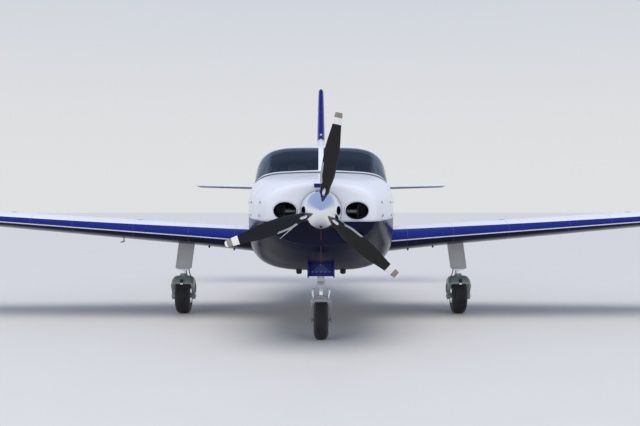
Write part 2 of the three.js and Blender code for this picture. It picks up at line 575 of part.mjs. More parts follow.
// Cabin door in two parts, each on two knuckle hinges along its outer edge
const skinX = (station, z) => {
  const row = sectionAt(station);
  const [power, height] = z >= row.widest ? [row.upper, row.top - row.widest]
    : [row.lower, row.widest - row.bottom];
  return row.half * (1 - Math.abs((z - row.widest) / height) ** power) ** (1 / power);
};
const DOOR_MIDDLE = (DOOR.from + DOOR.to) / 2;
const DOOR_AXIS_OUT = 5;
const doorAxis = (z) => ({ x: skinX(DOOR_MIDDLE, z) + DOOR_AXIS_OUT, z });
const UPPER_DOOR_AXIS = doorAxis(DOOR.high + DOOR.gap / 2);
const LOWER_DOOR_AXIS = doorAxis(DOOR.low - DOOR.gap / 2);
const doorWall = cabinOuter.subtract(fuselage(FIREWALL - 1, BULKHEAD + 1, WALL));
const doorPanel = (low, high) => doorWall.intersect(
  prism(doorOutline(0, low, high), 'x', SIDE_CUT.doorFrom, SIDE_CUT.to));
const KNUCKLE = { radius: 8, length: 46, offsets: [-240, 140], leaf: 15, leafFrom: 16, leafTo: 1,
  clear: 2 };
// side is 1 where the door hangs below the axis, -1 where it stands above it
const knuckles = (axis, side) => {
  const piece = (offset, shift, toDoor) => {
    const from = DOOR_MIDDLE + offset + shift;
    const tube = rod(vec(axis.x, from, axis.z), vec(axis.x, from + KNUCKLE.length, axis.z),
      KNUCKLE.radius, KNUCKLE.radius, 12);
    const way = toDoor ? -side : side;
    const levels = [axis.z, axis.z + way * KNUCKLE.leaf];
    const leaf = block(vec(axis.x - KNUCKLE.leafFrom, from, Math.min(...levels)),
      vec(axis.x - KNUCKLE.leafTo, from + KNUCKLE.length, Math.max(...levels)));
    return join(tube, leaf);
  };
  const space = (offset, shift) => {
    const from = DOOR_MIDDLE + offset + shift;
    const radius = KNUCKLE.radius + KNUCKLE.clear;
    return rod(vec(axis.x, from - KNUCKLE.clear, axis.z),
      vec(axis.x, from + KNUCKLE.length + KNUCKLE.clear, axis.z), radius, radius, 12);
  };
  const second = KNUCKLE.length + GAP;
  return {
    fixed: join(...KNUCKLE.offsets.map((offset) => piece(offset, 0, false))),
    fixedSpace: join(...KNUCKLE.offsets.map((offset) => space(offset, 0))),
    moving: join(...KNUCKLE.offsets.map((offset) => piece(offset, second, true))),
    movingSpace: join(...KNUCKLE.offsets.map((offset) => space(offset, second))),
  };
};
const upperKnuckles = knuckles(UPPER_DOOR_AXIS, 1);
const lowerKnuckles = knuckles(LOWER_DOOR_AXIS, -1);
const doorGlassCut = windowSpace(DOOR_WINDOW, 1, 0);
const upperDoor = doorPanel(DOOR.split + DOOR.gap + 1, DOOR.high).subtract(doorGlassCut)
  .subtract(upperKnuckles.fixedSpace).add(upperKnuckles.moving);
const lowerDoor = doorPanel(DOOR.low, DOOR.split).subtract(lowerKnuckles.fixedSpace)
  .add(lowerKnuckles.moving);
const framedShell = join(cabinShell.subtract(upperKnuckles.movingSpace)
  .subtract(lowerKnuckles.movingSpace), upperKnuckles.fixed, lowerKnuckles.fixed);
const doorWindow = paneBand.intersect(windowSpace(DOOR_WINDOW, 1, GAP));

// Cabin fittings
const cabinRoom = fuselage(FIREWALL + FIREWALL_THICK + GAP, BULKHEAD - BULKHEAD_THICK - GAP,
  WALL + GAP);
const cabinFloor = block(vec(-900, FIREWALL, FLOOR_Z - FLOOR_THICK), vec(900, BULKHEAD, FLOOR_Z))
  .intersect(cabinRoom);
const panelProfile = new THREE.Shape([corner(y(2290), 1590), corner(y(2560), 1600),
  corner(y(2580), 1570), corner(y(2500), 1540), corner(y(2470), 1180), corner(y(2430), 1180),
  corner(y(2430), 1540), corner(y(2290), 1550)]);
// Control yoke: a shaft out of the panel, a bar across it and two upright grips
const YOKE = { x: 330, z: 1395, shaft: 14, from: 2460, bar: 2680, barThick: 25, half: 130, grip: 28,
  high: 1490 };
const yokeBlock = (fromX, toX, high) => block(vec(fromX, YOKE.bar, YOKE.z - 15),
  vec(toX, YOKE.bar + YOKE.barThick, high));
const yokes = both(join(
  rod(vec(YOKE.x, YOKE.from, YOKE.z), vec(YOKE.x, YOKE.bar + 10, YOKE.z), YOKE.shaft, YOKE.shaft, 10),
  yokeBlock(YOKE.x - YOKE.half + 10, YOKE.x + YOKE.half - 10, YOKE.z + 15),
  yokeBlock(YOKE.x - YOKE.half, YOKE.x - YOKE.half + YOKE.grip, YOKE.high),
  yokeBlock(YOKE.x + YOKE.half - YOKE.grip, YOKE.x + YOKE.half, YOKE.high)));
const instrumentPanel = join(prism(panelProfile, 'x', -790, 790), yokes).intersect(cabinRoom);
// A seat in profile, facing the nose when ahead is 1, from the station of its cushion's middle
const SEAT = { x: 300, half: 235, depth: 250, cushion: [1130, 1270], back: 640, lean: 190, thick: 120,
  foot: 190, rest: 290 };
const seatAt = (x, station, ahead) => {
  const at = (forward, z) => corner(y(station - ahead * forward), z);
  const [low, top] = SEAT.cushion;
  const leaning = SEAT.depth + SEAT.lean;
  const base = [at(SEAT.foot, FLOOR_Z + GAP), at(-SEAT.foot, FLOOR_Z + GAP), at(-SEAT.foot, low),
    at(-SEAT.rest, low), at(-leaning, top + SEAT.back), at(SEAT.thick - leaning, top + SEAT.back),
    at(SEAT.thick - SEAT.depth, top), at(SEAT.depth, top), at(SEAT.depth, low), at(SEAT.foot, low)];
  return prism(new THREE.Shape(base), 'x', x - SEAT.half, x + SEAT.half);
};
const SEAT_BAR = { half: 60, high: 30, railHalf: 20, railHigh: 24 };
const seatRow = (station, ahead) => both(seatAt(SEAT.x, station, ahead))
  .add(block(vec(-SEAT.x, station - SEAT_BAR.half, FLOOR_Z + GAP),
    vec(SEAT.x, station + SEAT_BAR.half, FLOOR_Z + SEAT_BAR.high)));
const seatRails = (from, to) => both(block(vec(SEAT.x - SEAT_BAR.railHalf, from, FLOOR_Z + GAP),
  vec(SEAT.x + SEAT_BAR.railHalf, to, FLOOR_Z + SEAT_BAR.railHigh)));
const crewSeats = seatRow(3000, 1).intersect(cabinRoom);
const passengerSeats = join(seatRow(3900, -1), seatRow(4860, 1), seatRails(3920, 4840))
  .intersect(cabinRoom);

// Nose gear: fixed leg up to the engine bearer, steered fork trailing a little, two side doors
const NOSE_LEG = { radius: 38, low: 505, top: ENGINE.low - GAP };
const noseSteer = vec(0, NOSE_GEAR.station, 0);
const noseAxle = vec(0, NOSE_GEAR.station + NOSE_GEAR.trail, NOSE_GEAR.tyreRadius);
const at = (base, z) => new THREE.Vector3(base.x, base.y, z);
const DRAG_BRACE = { station: 1500, half: 80, radius: 15, low: 760, high: 985, foot: 30 };
const noseLeg = join(rod(at(noseSteer, NOSE_LEG.low), at(noseSteer, NOSE_LEG.top), NOSE_LEG.radius),
  ...[-1, 1].map((side) => rod(vec(side * 30, NOSE_GEAR.station, DRAG_BRACE.low),
    vec(side * 60, DRAG_BRACE.station, DRAG_BRACE.high), DRAG_BRACE.radius, DRAG_BRACE.radius, 8)),
  block(vec(-DRAG_BRACE.half, DRAG_BRACE.station - DRAG_BRACE.foot, DRAG_BRACE.high - 10),
    vec(DRAG_BRACE.half, DRAG_BRACE.station + DRAG_BRACE.foot, NOSE_LEG.top)));
const noseForkBody = fork(noseAxle, { half: 108, arm: 18, inner: 212, outer: 246, shoulder: 70,
  ahead: 21, behind: 21, foot: 26, pin: NOSE_GEAR.pin });
// Steering arms: out from the crown, then back in beside the leg's collar
const STEER_ARM = [[72, 424], [88, 498], [60, 528]];
const STEER_ARM_RADIUS = 8;
const steerArms = both(join(...STEER_ARM.slice(1).map(([x, z], i) => (
  rod(vec(STEER_ARM[i][0], NOSE_GEAR.station, STEER_ARM[i][1]), vec(x, NOSE_GEAR.station, z),
    STEER_ARM_RADIUS, STEER_ARM_RADIUS, 8)))));
const PISTON = { nose: 22, main: 30 };
const noseFork = join(noseForkBody, steerArms,
  block(vec(-64, NOSE_GEAR.station - 34, 424), vec(64, NOSE_GEAR.station + NOSE_GEAR.trail, 452)),
  rod(at(noseSteer, 440), at(noseSteer, NOSE_LEG.low - GAP), PISTON.nose));
const NOSE_DOOR = { thick: 14, low: 652 };
const noseDoorOutline = new THREE.Shape([corner(y(960), 770), corner(y(985), NOSE_DOOR.low),
  corner(y(1560), NOSE_DOOR.low), corner(y(1650), 740), corner(y(1650), 860), corner(y(960), 860)]);
const noseDoor = prism(noseDoorOutline, 'x', NOSE_WELL.half + 3, NOSE_WELL.half + 3 + NOSE_DOOR.thick)
  .subtract(fuselageSpace);
// Plate ahead of the leg, between the doors
const LEG_PLATE = { half: 118, station: 1092, thick: 12, low: 660, high: 812 };
const legPlate = join(prism(roundedBox(-LEG_PLATE.half, LEG_PLATE.low, LEG_PLATE.half,
  LEG_PLATE.high, 14), 'y', y(LEG_PLATE.station), y(LEG_PLATE.station + LEG_PLATE.thick)),
block(vec(-20, LEG_PLATE.station + 8, 715), vec(20, NOSE_GEAR.station, 745)));

// Main gear: leaning leg up into the wing, fork with its axle, and the door plate on the leg
const MAIN_LEG = { low: 46, top: 52, pistonLow: 470 };
const mainLeg = join(rod(LEG_LOW, LEG_TOP, MAIN_LEG.low, MAIN_LEG.top),
  rod(LEG_LOW.clone().add(new THREE.Vector3(0, 0, 4)),
    vec(MAIN_GEAR.x, MAIN_GEAR.station, MAIN_LEG.pistonLow), PISTON.main),
  fork(mainAxle, { half: 144, arm: 32, inner: 232, outer: 262, shoulder: 70,
    ahead: 45, behind: 22, foot: 34, pin: MAIN_GEAR.pin }));
const DOOR_PLATE = { half: 104, ahead: 66, thick: 10, low: 575, high: 960, strap: 700 };
const doorPlate = (() => {
  const lean = (z) => LEG_LOW.x + (LEG_TOP.x - LEG_LOW.x) * ((z - LEG_LOW.z) / (LEG_TOP.z - LEG_LOW.z));
  const outline = roundedOutline([corner(lean(DOOR_PLATE.low) - DOOR_PLATE.half, DOOR_PLATE.low),
    corner(lean(DOOR_PLATE.low) + DOOR_PLATE.half, DOOR_PLATE.low),
    corner(lean(DOOR_PLATE.high) + DOOR_PLATE.half, DOOR_PLATE.high),
    corner(lean(DOOR_PLATE.high) - DOOR_PLATE.half, DOOR_PLATE.high)], 24);
  const station = MAIN_GEAR.station - DOOR_PLATE.ahead;
  const plate = prism(outline, 'y', y(station - DOOR_PLATE.thick), y(station));
  const strap = block(vec(lean(DOOR_PLATE.strap) - 60, station - 2, DOOR_PLATE.strap - 10),
    vec(lean(DOOR_PLATE.strap) + 60, MAIN_GEAR.station, DOOR_PLATE.strap + 12));
  return join(plate, strap).subtract(rod(LEG_LOW, LEG_TOP, MAIN_LEG.low + GAP, MAIN_LEG.top + GAP));
})();
const wingSpace = wingWhole.subtract(wheelWell).subtract(legPocket);
const mainDoor = doorPlate.subtract(wingSpace.translate([0, 0, -GAP]));

// Exhaust stubs from the engine's underside through the lower cowl
const EXHAUST = { x: 240, radius: 32, wall: 3, from: 1480, to: 1700, low: 655,
  cross: 1563, crossZ: 880, crossRadius: 24, crossReach: 220 };
const exhaustRod = (side, radius, beyond) => {
  const start = vec(side * EXHAUST.x, EXHAUST.from, ENGINE.low + 20);
  const end = vec(side * EXHAUST.x, EXHAUST.to, EXHAUST.low);
  return rod(start, end.clone().lerp(start, -beyond), radius, radius, 12);
};
const belowEngine = block(vec(-800, 900, 300), vec(800, 2000, ENGINE.low - GAP));
const exhausts = join(...[-1, 1].map((side) => (
  exhaustRod(side, EXHAUST.radius, 0).subtract(exhaustRod(side, EXHAUST.radius - EXHAUST.wall, 0.1)))))
  .intersect(belowEngine).add(rod(vec(-EXHAUST.crossReach, EXHAUST.cross, EXHAUST.crossZ),
    vec(EXHAUST.crossReach, EXHAUST.cross, EXHAUST.crossZ), EXHAUST.crossRadius));
const exhaustSpace = join(...[-1, 1].map((side) => exhaustRod(side, EXHAUST.radius + GAP, 0.1)));

// Small fittings on the skin: blade antenna, pitot mast and beacon
const ANTENNA = { from: 4000, chord: 150, tip: 70, sweep: 90, low: 2100, high: 2300, half: 6 };
const antennaFront = y(ANTENNA.from);
const antenna = prism(new THREE.Shape([corner(antennaFront, ANTENNA.low),
  corner(antennaFront + ANTENNA.chord, ANTENNA.low),
  corner(antennaFront + ANTENNA.sweep + ANTENNA.tip, ANTENNA.high),
  corner(antennaFront + ANTENNA.sweep, ANTENNA.high)]), 'x', -ANTENNA.half, ANTENNA.half)
  .subtract(fuselageSpace);
const PITOT = { x: -2500, station: 3260, half: 7, low: 922, high: 1080, tube: 929 };
const pitotSpace = mirrorX(wing).translate([0, 0, -GAP]);
const pitot = join(block(vec(PITOT.x - PITOT.half, PITOT.station - 30, PITOT.low),
  vec(PITOT.x + PITOT.half, PITOT.station + 30, PITOT.high)),
rod(vec(PITOT.x, PITOT.station + 20, PITOT.tube), vec(PITOT.x, PITOT.station - 190, PITOT.tube),
  10, 8, 10))
  .subtract(pitotSpace);
const BEACON = { z: 2640, station: 7742, radius: 20, length: 40 };
const beacon = rod(vec(0, BEACON.station, BEACON.z),
  vec(0, BEACON.station + BEACON.length, BEACON.z), BEACON.radius, BEACON.radius, 12)
  .subtract(fin.translate([0, -GAP, 0]));

// Assembly
const port = (name, solid, material) => place(`${name}_port`, solid, material);
const starboard = (name, solid, material) => place(`${name}_starboard`, mirrorX(solid), material);
const pair = (name, solid, material) => {
  port(name, solid, material);
  starboard(name, solid, material);
};
// A pair whose pieces end on the fuselage skin
const pairOnSkin = (name, solid, material) => {
  port(name, solid, material);
  place(`${name}_starboard`, mirrorX(solid).subtract(fuselageSpace), material);
};

place('cabin_shell', framedShell, WHITE);
pair('windshield', paneBand.intersect(windshieldSpace(GAP)), GLASS);
pair('cockpit_window', paneBand.intersect(cockpitWindowSpace(GAP)), GLASS);
SIDE_WINDOWS.forEach((row, i) => row.sides.forEach((side) => place(
  `cabin_window_${i + 1}_${side > 0 ? 'port' : 'starboard'}`,
  paneBand.intersect(windowSpace(row, side, GAP)), GLASS)));
place('upper_cabin_door', upperDoor, WHITE);
place('lower_cabin_door', lowerDoor, WHITE);
place('door_window', doorWindow, GLASS);
place('cabin_floor', cabinFloor, PANEL);
place('instrument_panel', instrumentPanel, PANEL);
place('crew_seats', crewSeats, LEATHER);
place('passenger_seats', passengerSeats, LEATHER);
place('upper_cowl', cowlUpper, WHITE);
place('lower_cowl', cowlLower.subtract(exhaustSpace), NAVY);
place('engine', engine, CAST);
place('exhaust_stubs', exhausts, STEEL);
place('tail_cone', tailCone, WHITE);
place('fin', fin.add(rudderHinges.fixed), BLUE);
place('rudder', rudder.subtract(rudderHinges.cut), BLUE);
place('tailplane', tailplane.add(both(elevatorHinges.fixed)), WHITE);
pair('elevator', elevator.subtract(elevatorHinges.cut), WHITE);
pairOnSkin('wing', join(wing, flapHinges.fixed, aileronHinges.fixed), WHITE);
pair('flap', flap.surface.subtract(flapHinges.cut), WHITE);
pair('aileron', aileron.surface.subtract(aileronHinges.cut), WHITE);
place('spinner', spinner, CHROME);
BLADE_ANGLES.forEach((angle, i) => place(`propeller_blade_${i + 1}`, bladeAt(angle, 0), BLACK));
place('nose_leg', noseLeg.add(legPlate), STEEL);
place('nose_fork', noseFork, STEEL);
place('nose_wheel', wheel(noseAxle, NOSE_GEAR.tyreWidth, NOSE_GEAR.bead, NOSE_GEAR.pin + BORE, 24),
  STEEL);
place('nose_tyre', tyre(noseAxle, NOSE_GEAR.tyreRadius, NOSE_GEAR.tyreWidth, NOSE_GEAR.bead, 24),
  RUBBER);
pairOnSkin('nose_gear_door', noseDoor, BLUE);
pair('main_leg', mainLeg, CAST);
pair('main_wheel', wheel(mainAxle, MAIN_GEAR.tyreWidth, MAIN_GEAR.bead, MAIN_GEAR.pin + BORE, 26),
  STEEL);
pair('main_tyre', tyre(mainAxle, MAIN_GEAR.tyreRadius, MAIN_GEAR.tyreWidth, MAIN_GEAR.bead, 26),
  RUBBER);
pair('main_gear_door', mainDoor, CAST);
place('roof_antenna', antenna, WHITE);
place('pitot_mast', pitot, STEEL);
place('beacon', beacon, LAMP);

export default aircraft;
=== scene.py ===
# Looks of the single-engine light aircraft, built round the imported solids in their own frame.
# Metres, +Z up, nose towards -Y, port side +X. Tables are in millimetres, as in the part's source.
import math
from bisect import bisect_right

import bmesh
import bpy
from mathutils import Matrix, Vector


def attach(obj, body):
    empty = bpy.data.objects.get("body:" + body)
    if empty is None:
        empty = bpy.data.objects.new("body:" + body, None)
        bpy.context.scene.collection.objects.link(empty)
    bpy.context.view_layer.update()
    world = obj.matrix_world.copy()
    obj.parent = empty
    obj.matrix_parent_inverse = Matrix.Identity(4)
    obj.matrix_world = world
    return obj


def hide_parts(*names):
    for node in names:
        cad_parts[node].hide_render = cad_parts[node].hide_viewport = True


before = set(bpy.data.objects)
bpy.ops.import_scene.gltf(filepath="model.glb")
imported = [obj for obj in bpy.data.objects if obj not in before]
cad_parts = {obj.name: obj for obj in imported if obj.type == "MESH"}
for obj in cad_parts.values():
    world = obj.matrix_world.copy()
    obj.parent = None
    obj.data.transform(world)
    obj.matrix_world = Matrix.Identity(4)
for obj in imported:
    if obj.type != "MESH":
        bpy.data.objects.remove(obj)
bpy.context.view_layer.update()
MM = 0.001
LENGTH = 8600
AFT = (0, 1, 0)


def spot(x, station, z):
    """A place in the frame from millimetres and a station aft of the spinner's tip."""
    return Vector((x * MM, (station - LENGTH / 2) * MM, z * MM))


# Camera, as the photo was taken: lens, sensor and place in front of the nose
LENS_LENGTH, SENSOR_WIDTH, SIGHT_LIMIT = 50, 36, 200
CAMERA_PLACE = (0, -12.32, 1.39)
CAMERA_TURN = (math.radians(89.5), 0, math.radians(0.064))
camera = bpy.data.objects.new("camera", bpy.data.cameras.new("camera"))
bpy.context.scene.collection.objects.link(camera)
bpy.context.scene.camera = camera
camera.data.lens = LENS_LENGTH
camera.data.sensor_width = SENSOR_WIDTH
camera.data.clip_end = SIGHT_LIMIT
camera.location = CAMERA_PLACE
camera.rotation_euler = CAMERA_TURN


# Node helpers
class Surface:
    """A material in the making: its nodes, with short ways to add the usual ones."""

    def __init__(self, name, colour, rough, metal=0.0, **sockets):
        self.material = bpy.data.materials.new(name)
        self.material.use_nodes = True
        self.nodes = self.material.node_tree.nodes
        self.links = self.material.node_tree.links
        self.shader = self.nodes["Principled BSDF"]
        self.shader.inputs["Base Color"].default_value = (*colour, 1)
        self.shader.inputs["Roughness"].default_value = rough
        self.shader.inputs["Metallic"].default_value = metal
        for socket, value in sockets.items():
            self.shader.inputs[socket.replace("_", " ")].default_value = value
        self.coords = self.nodes.new("ShaderNodeTexCoord").outputs["Object"]
        self.height = None
        self.material.diffuse_color = (*colour, 1)

    def value(self, socket, given):
        if isinstance(given, (int, float)):
            socket.default_value = given
        elif isinstance(given, tuple):
            socket.default_value = given if len(given) == 4 else (*given, 1)
        else:
            self.links.new(given, socket)

    def math(self, operation, *given):
        node = self.nodes.new("ShaderNodeMath")
        node.operation = operation
        for socket, item in zip(node.inputs, given):
            self.value(socket, item)
        return node.outputs[0]

    def axes(self):
        """Object coordinates as three numbers: across, along and up."""
        node = self.nodes.new("ShaderNodeSeparateXYZ")
        self.links.new(self.coords, node.inputs[0])
        return node.outputs[0], node.outputs[1], node.outputs[2]

    def scaled(self, scale):
        node = self.nodes.new("ShaderNodeMapping")
        self.links.new(self.coords, node.inputs["Vector"])
        node.inputs["Scale"].default_value = scale
        return node.outputs[0]

    def noise(self, scale, detail=3.0, rough=0.5, source=None):
        node = self.nodes.new("ShaderNodeTexNoise")
        self.links.new(source or self.coords, node.inputs["Vector"])
        node.inputs["Scale"].default_value = scale
        node.inputs["Detail"].default_value = detail
        node.inputs["Roughness"].default_value = rough
        return node.outputs["Fac"]

    def step(self, source, low, high, first=0.0, last=1.0):
        """A value that runs from first to last while the source runs from low to high."""
        node = self.nodes.new("ShaderNodeMapRange")
        self.links.new(source, node.inputs["Value"])
        for socket, item in zip(("From Min", "From Max", "To Min", "To Max"), (low, high, first, last)):
            node.inputs[socket].default_value = item
        return node.outputs[0]

    def mix(self, share, a, b, blend="MIX"):
        node = self.nodes.new("ShaderNodeMix")
        node.data_type, node.blend_type = "RGBA", blend
        self.value(node.inputs["Factor"], share)
        self.value(node.inputs["A"], a)
        self.value(node.inputs["B"], b)
        return node.outputs["Result"]

    def set(self, socket, source):
        self.links.new(source, self.shader.inputs[socket])

    def texture(self, kind, scale, output):
        """Output of a texture node of the given kind on Object coordinates."""
        node = self.nodes.new(kind)
        self.links.new(self.coords, node.inputs["Vector"])
        node.inputs["Scale"].default_value = scale
        return node.outputs[output]

    def bump(self, height, distance, strength=1.0):
        """Bumps on top of those added before."""
        node = self.nodes.new("ShaderNodeBump")
        node.inputs["Distance"].default_value = distance
        node.inputs["Strength"].default_value = strength
        self.links.new(height, node.inputs["Height"])
        if self.height is not None:
            self.links.new(self.height, node.inputs["Normal"])
        self.height = node.outputs["Normal"]
        self.links.new(self.height, self.shader.inputs["Normal"])

    def wear(self, rough, spread, scale, tint=None):
        """Uneven gloss and, with a tint, faint uneven colour."""
        patches = self.noise(scale, 5.0, 0.6)
        self.set("Roughness", self.step(patches, 0.3, 0.7, rough - spread, rough + spread))
        if tint is not None:
            share = self.step(self.noise(scale * 0.6, 4.0), 0.45, 0.75, 0.0, tint)
            base = tuple(self.shader.inputs["Base Color"].default_value)[:3]
            self.set("Base Color", self.mix(share, base, tuple(c * 0.72 for c in base)))


# Shape helpers
def curve_through(keys, values):
    """Smooth value along the keys that never swings past the given values."""
    slopes = [(b - a) / (k2 - k1) for a, b, k1, k2 in zip(values, values[1:], keys, keys[1:])]
    leans = [slopes[0]]
    for before, after in zip(slopes, slopes[1:]):
        leans.append(0.0 if before * after <= 0 else 2 * before * after / (before + after))
    leans.append(slopes[-1])

    def at(key):
        i = min(max(bisect_right(keys, key) - 1, 0), len(keys) - 2)
        wide = keys[i + 1] - keys[i]
        t = (key - keys[i]) / wide
        a, b = values[i], values[i + 1]
        la, lb = leans[i] * wide, leans[i + 1] * wide
        return (a * (1 + 2 * t) * (1 - t) ** 2 + la * t * (1 - t) ** 2
                + b * t * t * (3 - 2 * t) + lb * t * t * (t - 1))
    return at


def table_curves(rows, names):
    """One smooth curve for each named column of a table, by its first column."""
    keys = [row[0] for row in rows]
    return {name: curve_through(keys, [row[i + 1] for row in rows]) for i, name in enumerate(names)}


def spread(low, high, count):
    return [low + (high - low) * i / (count - 1) for i in range(count)]


def lofted(rings, closed=False, capped=True):
    """Skin over rings of points: a circle is extruded from each ring to the next."""
    bm = bmesh.new()
    loop = bmesh.ops.create_circle(bm, segments=len(rings[0]), radius=1.0)["verts"]
    first = loop
    for vert, point in zip(loop, rings[0]):
        vert.co = point

    def edges_of(verts):
        pairs = zip(verts, verts[1:] + verts[:1])
        return [next(e for e in a.link_edges if e.other_vert(a) is b) for a, b in pairs]
    for ring in rings[1:]:
        made = bmesh.ops.extrude_edge_only(bm, edges=edges_of(loop))["geom"]
        fresh = {item for item in made if isinstance(item, bmesh.types.BMVert)}
        loop = [next(e.other_vert(v) for e in v.link_edges if e.other_vert(v) in fresh) for v in loop]
        for vert, point in zip(loop, ring):
            vert.co = point
    if closed:
        bmesh.ops.bridge_loops(bm, edges=edges_of(first) + edges_of(loop))
    elif capped:
        for ends in (first, loop):
            bmesh.ops.contextual_create(bm, geom=edges_of(ends))
    bmesh.ops.recalc_face_normals(bm, faces=bm.faces)
    return bm


def turn_angles(count):
    """Even angles of a full turn, the last one left out because it is the first again."""
    return spread(0, 2 * math.pi, count + 1)[:-1]


def tube(path, radius, sides=12, closed=False):
    """Round bar or pipe along a path of points; radius may be one number or one for each point."""
    count = len(path)
    radii = radius if isinstance(radius, (list, tuple)) else [radius] * count
    rings, side = [], None
    for i, point in enumerate(path):
        before = path[i - 1] if i or closed else point
        after = path[(i + 1) % count] if i < count - 1 or closed else point
        way = (after - before).normalized()
        if side is None:
            side = way.orthogonal().normalized()
        side = (side - way * side.dot(way)).normalized()
        up = way.cross(side)
        rings.append([point + (side * math.cos(a) + up * math.sin(a)) * radii[i]
                      for a in turn_angles(sides)])
    return lofted(rings, closed=closed)


def rod(low, high, radius, sides=12):
    """Straight round bar between two places given as (x, station, z), its radius in millimetres."""
    return tube([spot(*low), spot(*high)], radius * MM, sides)


def soft_path(points, steps):
    """Points of a smooth curve through the given ones."""
    out = []
    for i in range(len(points) - 1):
        p0, p1 = points[max(i - 1, 0)], points[i]
        p2, p3 = points[i + 1], points[min(i + 2, len(points) - 1)]
        for t in spread(0, 1, steps + 1)[:-1]:
            out.append(0.5 * ((2 * p1) + (p2 - p0) * t + (2 * p0 - 5 * p1 + 4 * p2 - p3) * t * t
                              + (3 * p1 - p0 - 3 * p2 + p3) * t ** 3))
    return out + [points[-1]]


def lathe(profile, centre, axis, steps=64):
    """Turned shape: (along, radius) pairs in millimetres spun about an axis through a centre."""
    bm = bmesh.new()
    axis = Vector(axis).normalized()
    out = axis.orthogonal().normalized()
    verts = [bm.verts.new(centre + axis * along * MM + out * radius * MM) for along, radius in profile]
    edges = [bm.edges.new(pair) for pair in zip(verts, verts[1:])]
    bmesh.ops.spin(bm, geom=verts + edges, cent=centre, axis=axis, dvec=(0, 0, 0),
                   angle=2 * math.pi, steps=steps, use_merge=True)
    bmesh.ops.remove_doubles(bm, verts=bm.verts, dist=1e-6)
    bmesh.ops.recalc_face_normals(bm, faces=bm.faces)
    return bm


def slab(outline, thick, way):
    """Plate: a flat outline of points extruded along a direction."""
    bm = bmesh.new()
    face = bmesh.ops.create_circle(bm, segments=len(outline), radius=1.0, cap_ends=True)
    for vert, point in zip(face["verts"], outline):
        vert.co = point
    made = bmesh.ops.extrude_face_region(bm, geom=bm.faces[:])["geom"]
    bmesh.ops.translate(bm, vec=Vector(way).normalized() * thick,
                        verts=[g for g in made if isinstance(g, bmesh.types.BMVert)])
    bmesh.ops.recalc_face_normals(bm, faces=bm.faces)
    return bm


def nut(centre, way, across, thick, washer=True):
    """Hexagon nut with its washer, standing on a face."""
    way = Vector(way).normalized()
    parts = [tube([centre, centre + way * thick], across / 2, 6)]
    if washer:
        parts.append(tube([centre - way * 0.001, centre + way * 0.002], across * 0.62, 20))
    return joined(*parts)


def stud(centre, way, radius, high):
    """Domed head of a rivet or screw on a face."""
    way = Vector(way).normalized()
    path = [centre, centre + way * high * 0.55, centre + way * high]
    return tube(path, [radius, radius * 0.85, radius * 0.35], 10)


def box(low, high, edge=0.0, segments=2):
    """Box between two corners, its edges rounded."""
    bm = bmesh.new()
    bmesh.ops.create_cube(bm, size=1.0)
    size = high - low
    bmesh.ops.scale(bm, vec=size, verts=bm.verts)
    bmesh.ops.translate(bm, vec=(low + high) / 2, verts=bm.verts)
    if edge:
        rounded(bm, edge, segments)
    return bm


def block(low, high, edge=0.0, segments=2):
    """Box between two places given as (x, station, z)."""
    return box(spot(*low), spot(*high), edge, segments)


def rounded(bm, width, segments=2, angle=30):
    """Rounds every edge that is sharper than the angle, in metres."""
    sharp = [e for e in bm.edges if len(e.link_faces) == 2 and e.calc_face_angle(0) > math.radians(angle)]
    bmesh.ops.bevel(bm, geom=sharp, offset=width, segments=segments, profile=0.5,
                    affect="EDGES", material=-1, clamp_overlap=True)
    return bm


def joined(*parts):
    """One bmesh of several."""
    whole = bmesh.new()
    for part in parts:
        mesh = bpy.data.meshes.new("part")
        part.to_mesh(mesh)
        part.free()
        whole.from_mesh(mesh)
        bpy.data.meshes.remove(mesh)
    return whole


def mirrored(bm):
    """Copy of a shape on the other side of the aircraft."""
    other = bm.copy()
    bmesh.ops.scale(other, vec=(-1, 1, 1), verts=other.verts)
    bmesh.ops.reverse_faces(other, faces=other.faces)
    return other


def turned(bm, angle, axis, centre):
    bmesh.ops.rotate(bm, cent=centre, matrix=Matrix.Rotation(angle, 3, Vector(axis)), verts=bm.verts)
    return bm


def carved(bm, *tools, how="DIFFERENCE"):
    """A shape cut by, or kept inside, other shapes."""
    objects = []
    for shape in (bm, *tools):
        mesh = bpy.data.meshes.new("tool")
        shape.to_mesh(mesh)
        shape.free()
        thing = bpy.data.objects.new("tool", mesh)
        bpy.context.scene.collection.objects.link(thing)
        objects.append(thing)
    piece = objects[0]
    for tool in objects[1:]:
        cut = piece.modifiers.new("cut", "BOOLEAN")
        cut.object, cut.operation, cut.solver = tool, how, "EXACT"
    depsgraph = bpy.context.evaluated_depsgraph_get()
    result = bmesh.new()
    mesh = piece.evaluated_get(depsgraph).to_mesh()
    result.from_mesh(mesh)
    for thing in objects:
        data = thing.data
        bpy.data.objects.remove(thing)
        bpy.data.meshes.remove(data)
    return result


def joined_solid(*shapes):
    """Shapes fused into one body."""
    return carved(*shapes, how="UNION")


def piece(name, bm, finish, replaces=(), sharp=30, body="airframe", slot=None):
    """Puts a finished shape in the scene, riding on a body. A finish is a material and its usual slot."""
    bmesh.ops.remove_doubles(bm, verts=bm.verts, dist=2e-6)
    for face in bm.faces:
        face.smooth = True
    for edge in bm.edges:
        edge.smooth = len(edge.link_faces) != 2 or edge.calc_face_angle(0) < math.radians(sharp)
    mesh = bpy.data.meshes.new(name)
    bm.to_mesh(mesh)
    bm.free()
    mesh.materials.append(finish[0])
    thing = bpy.data.objects.new(name, mesh)
    bpy.context.scene.collection.objects.link(thing)
    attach(thing, body)
    slot or finish[1]
    if replaces:
        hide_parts(replaces)
    return thing


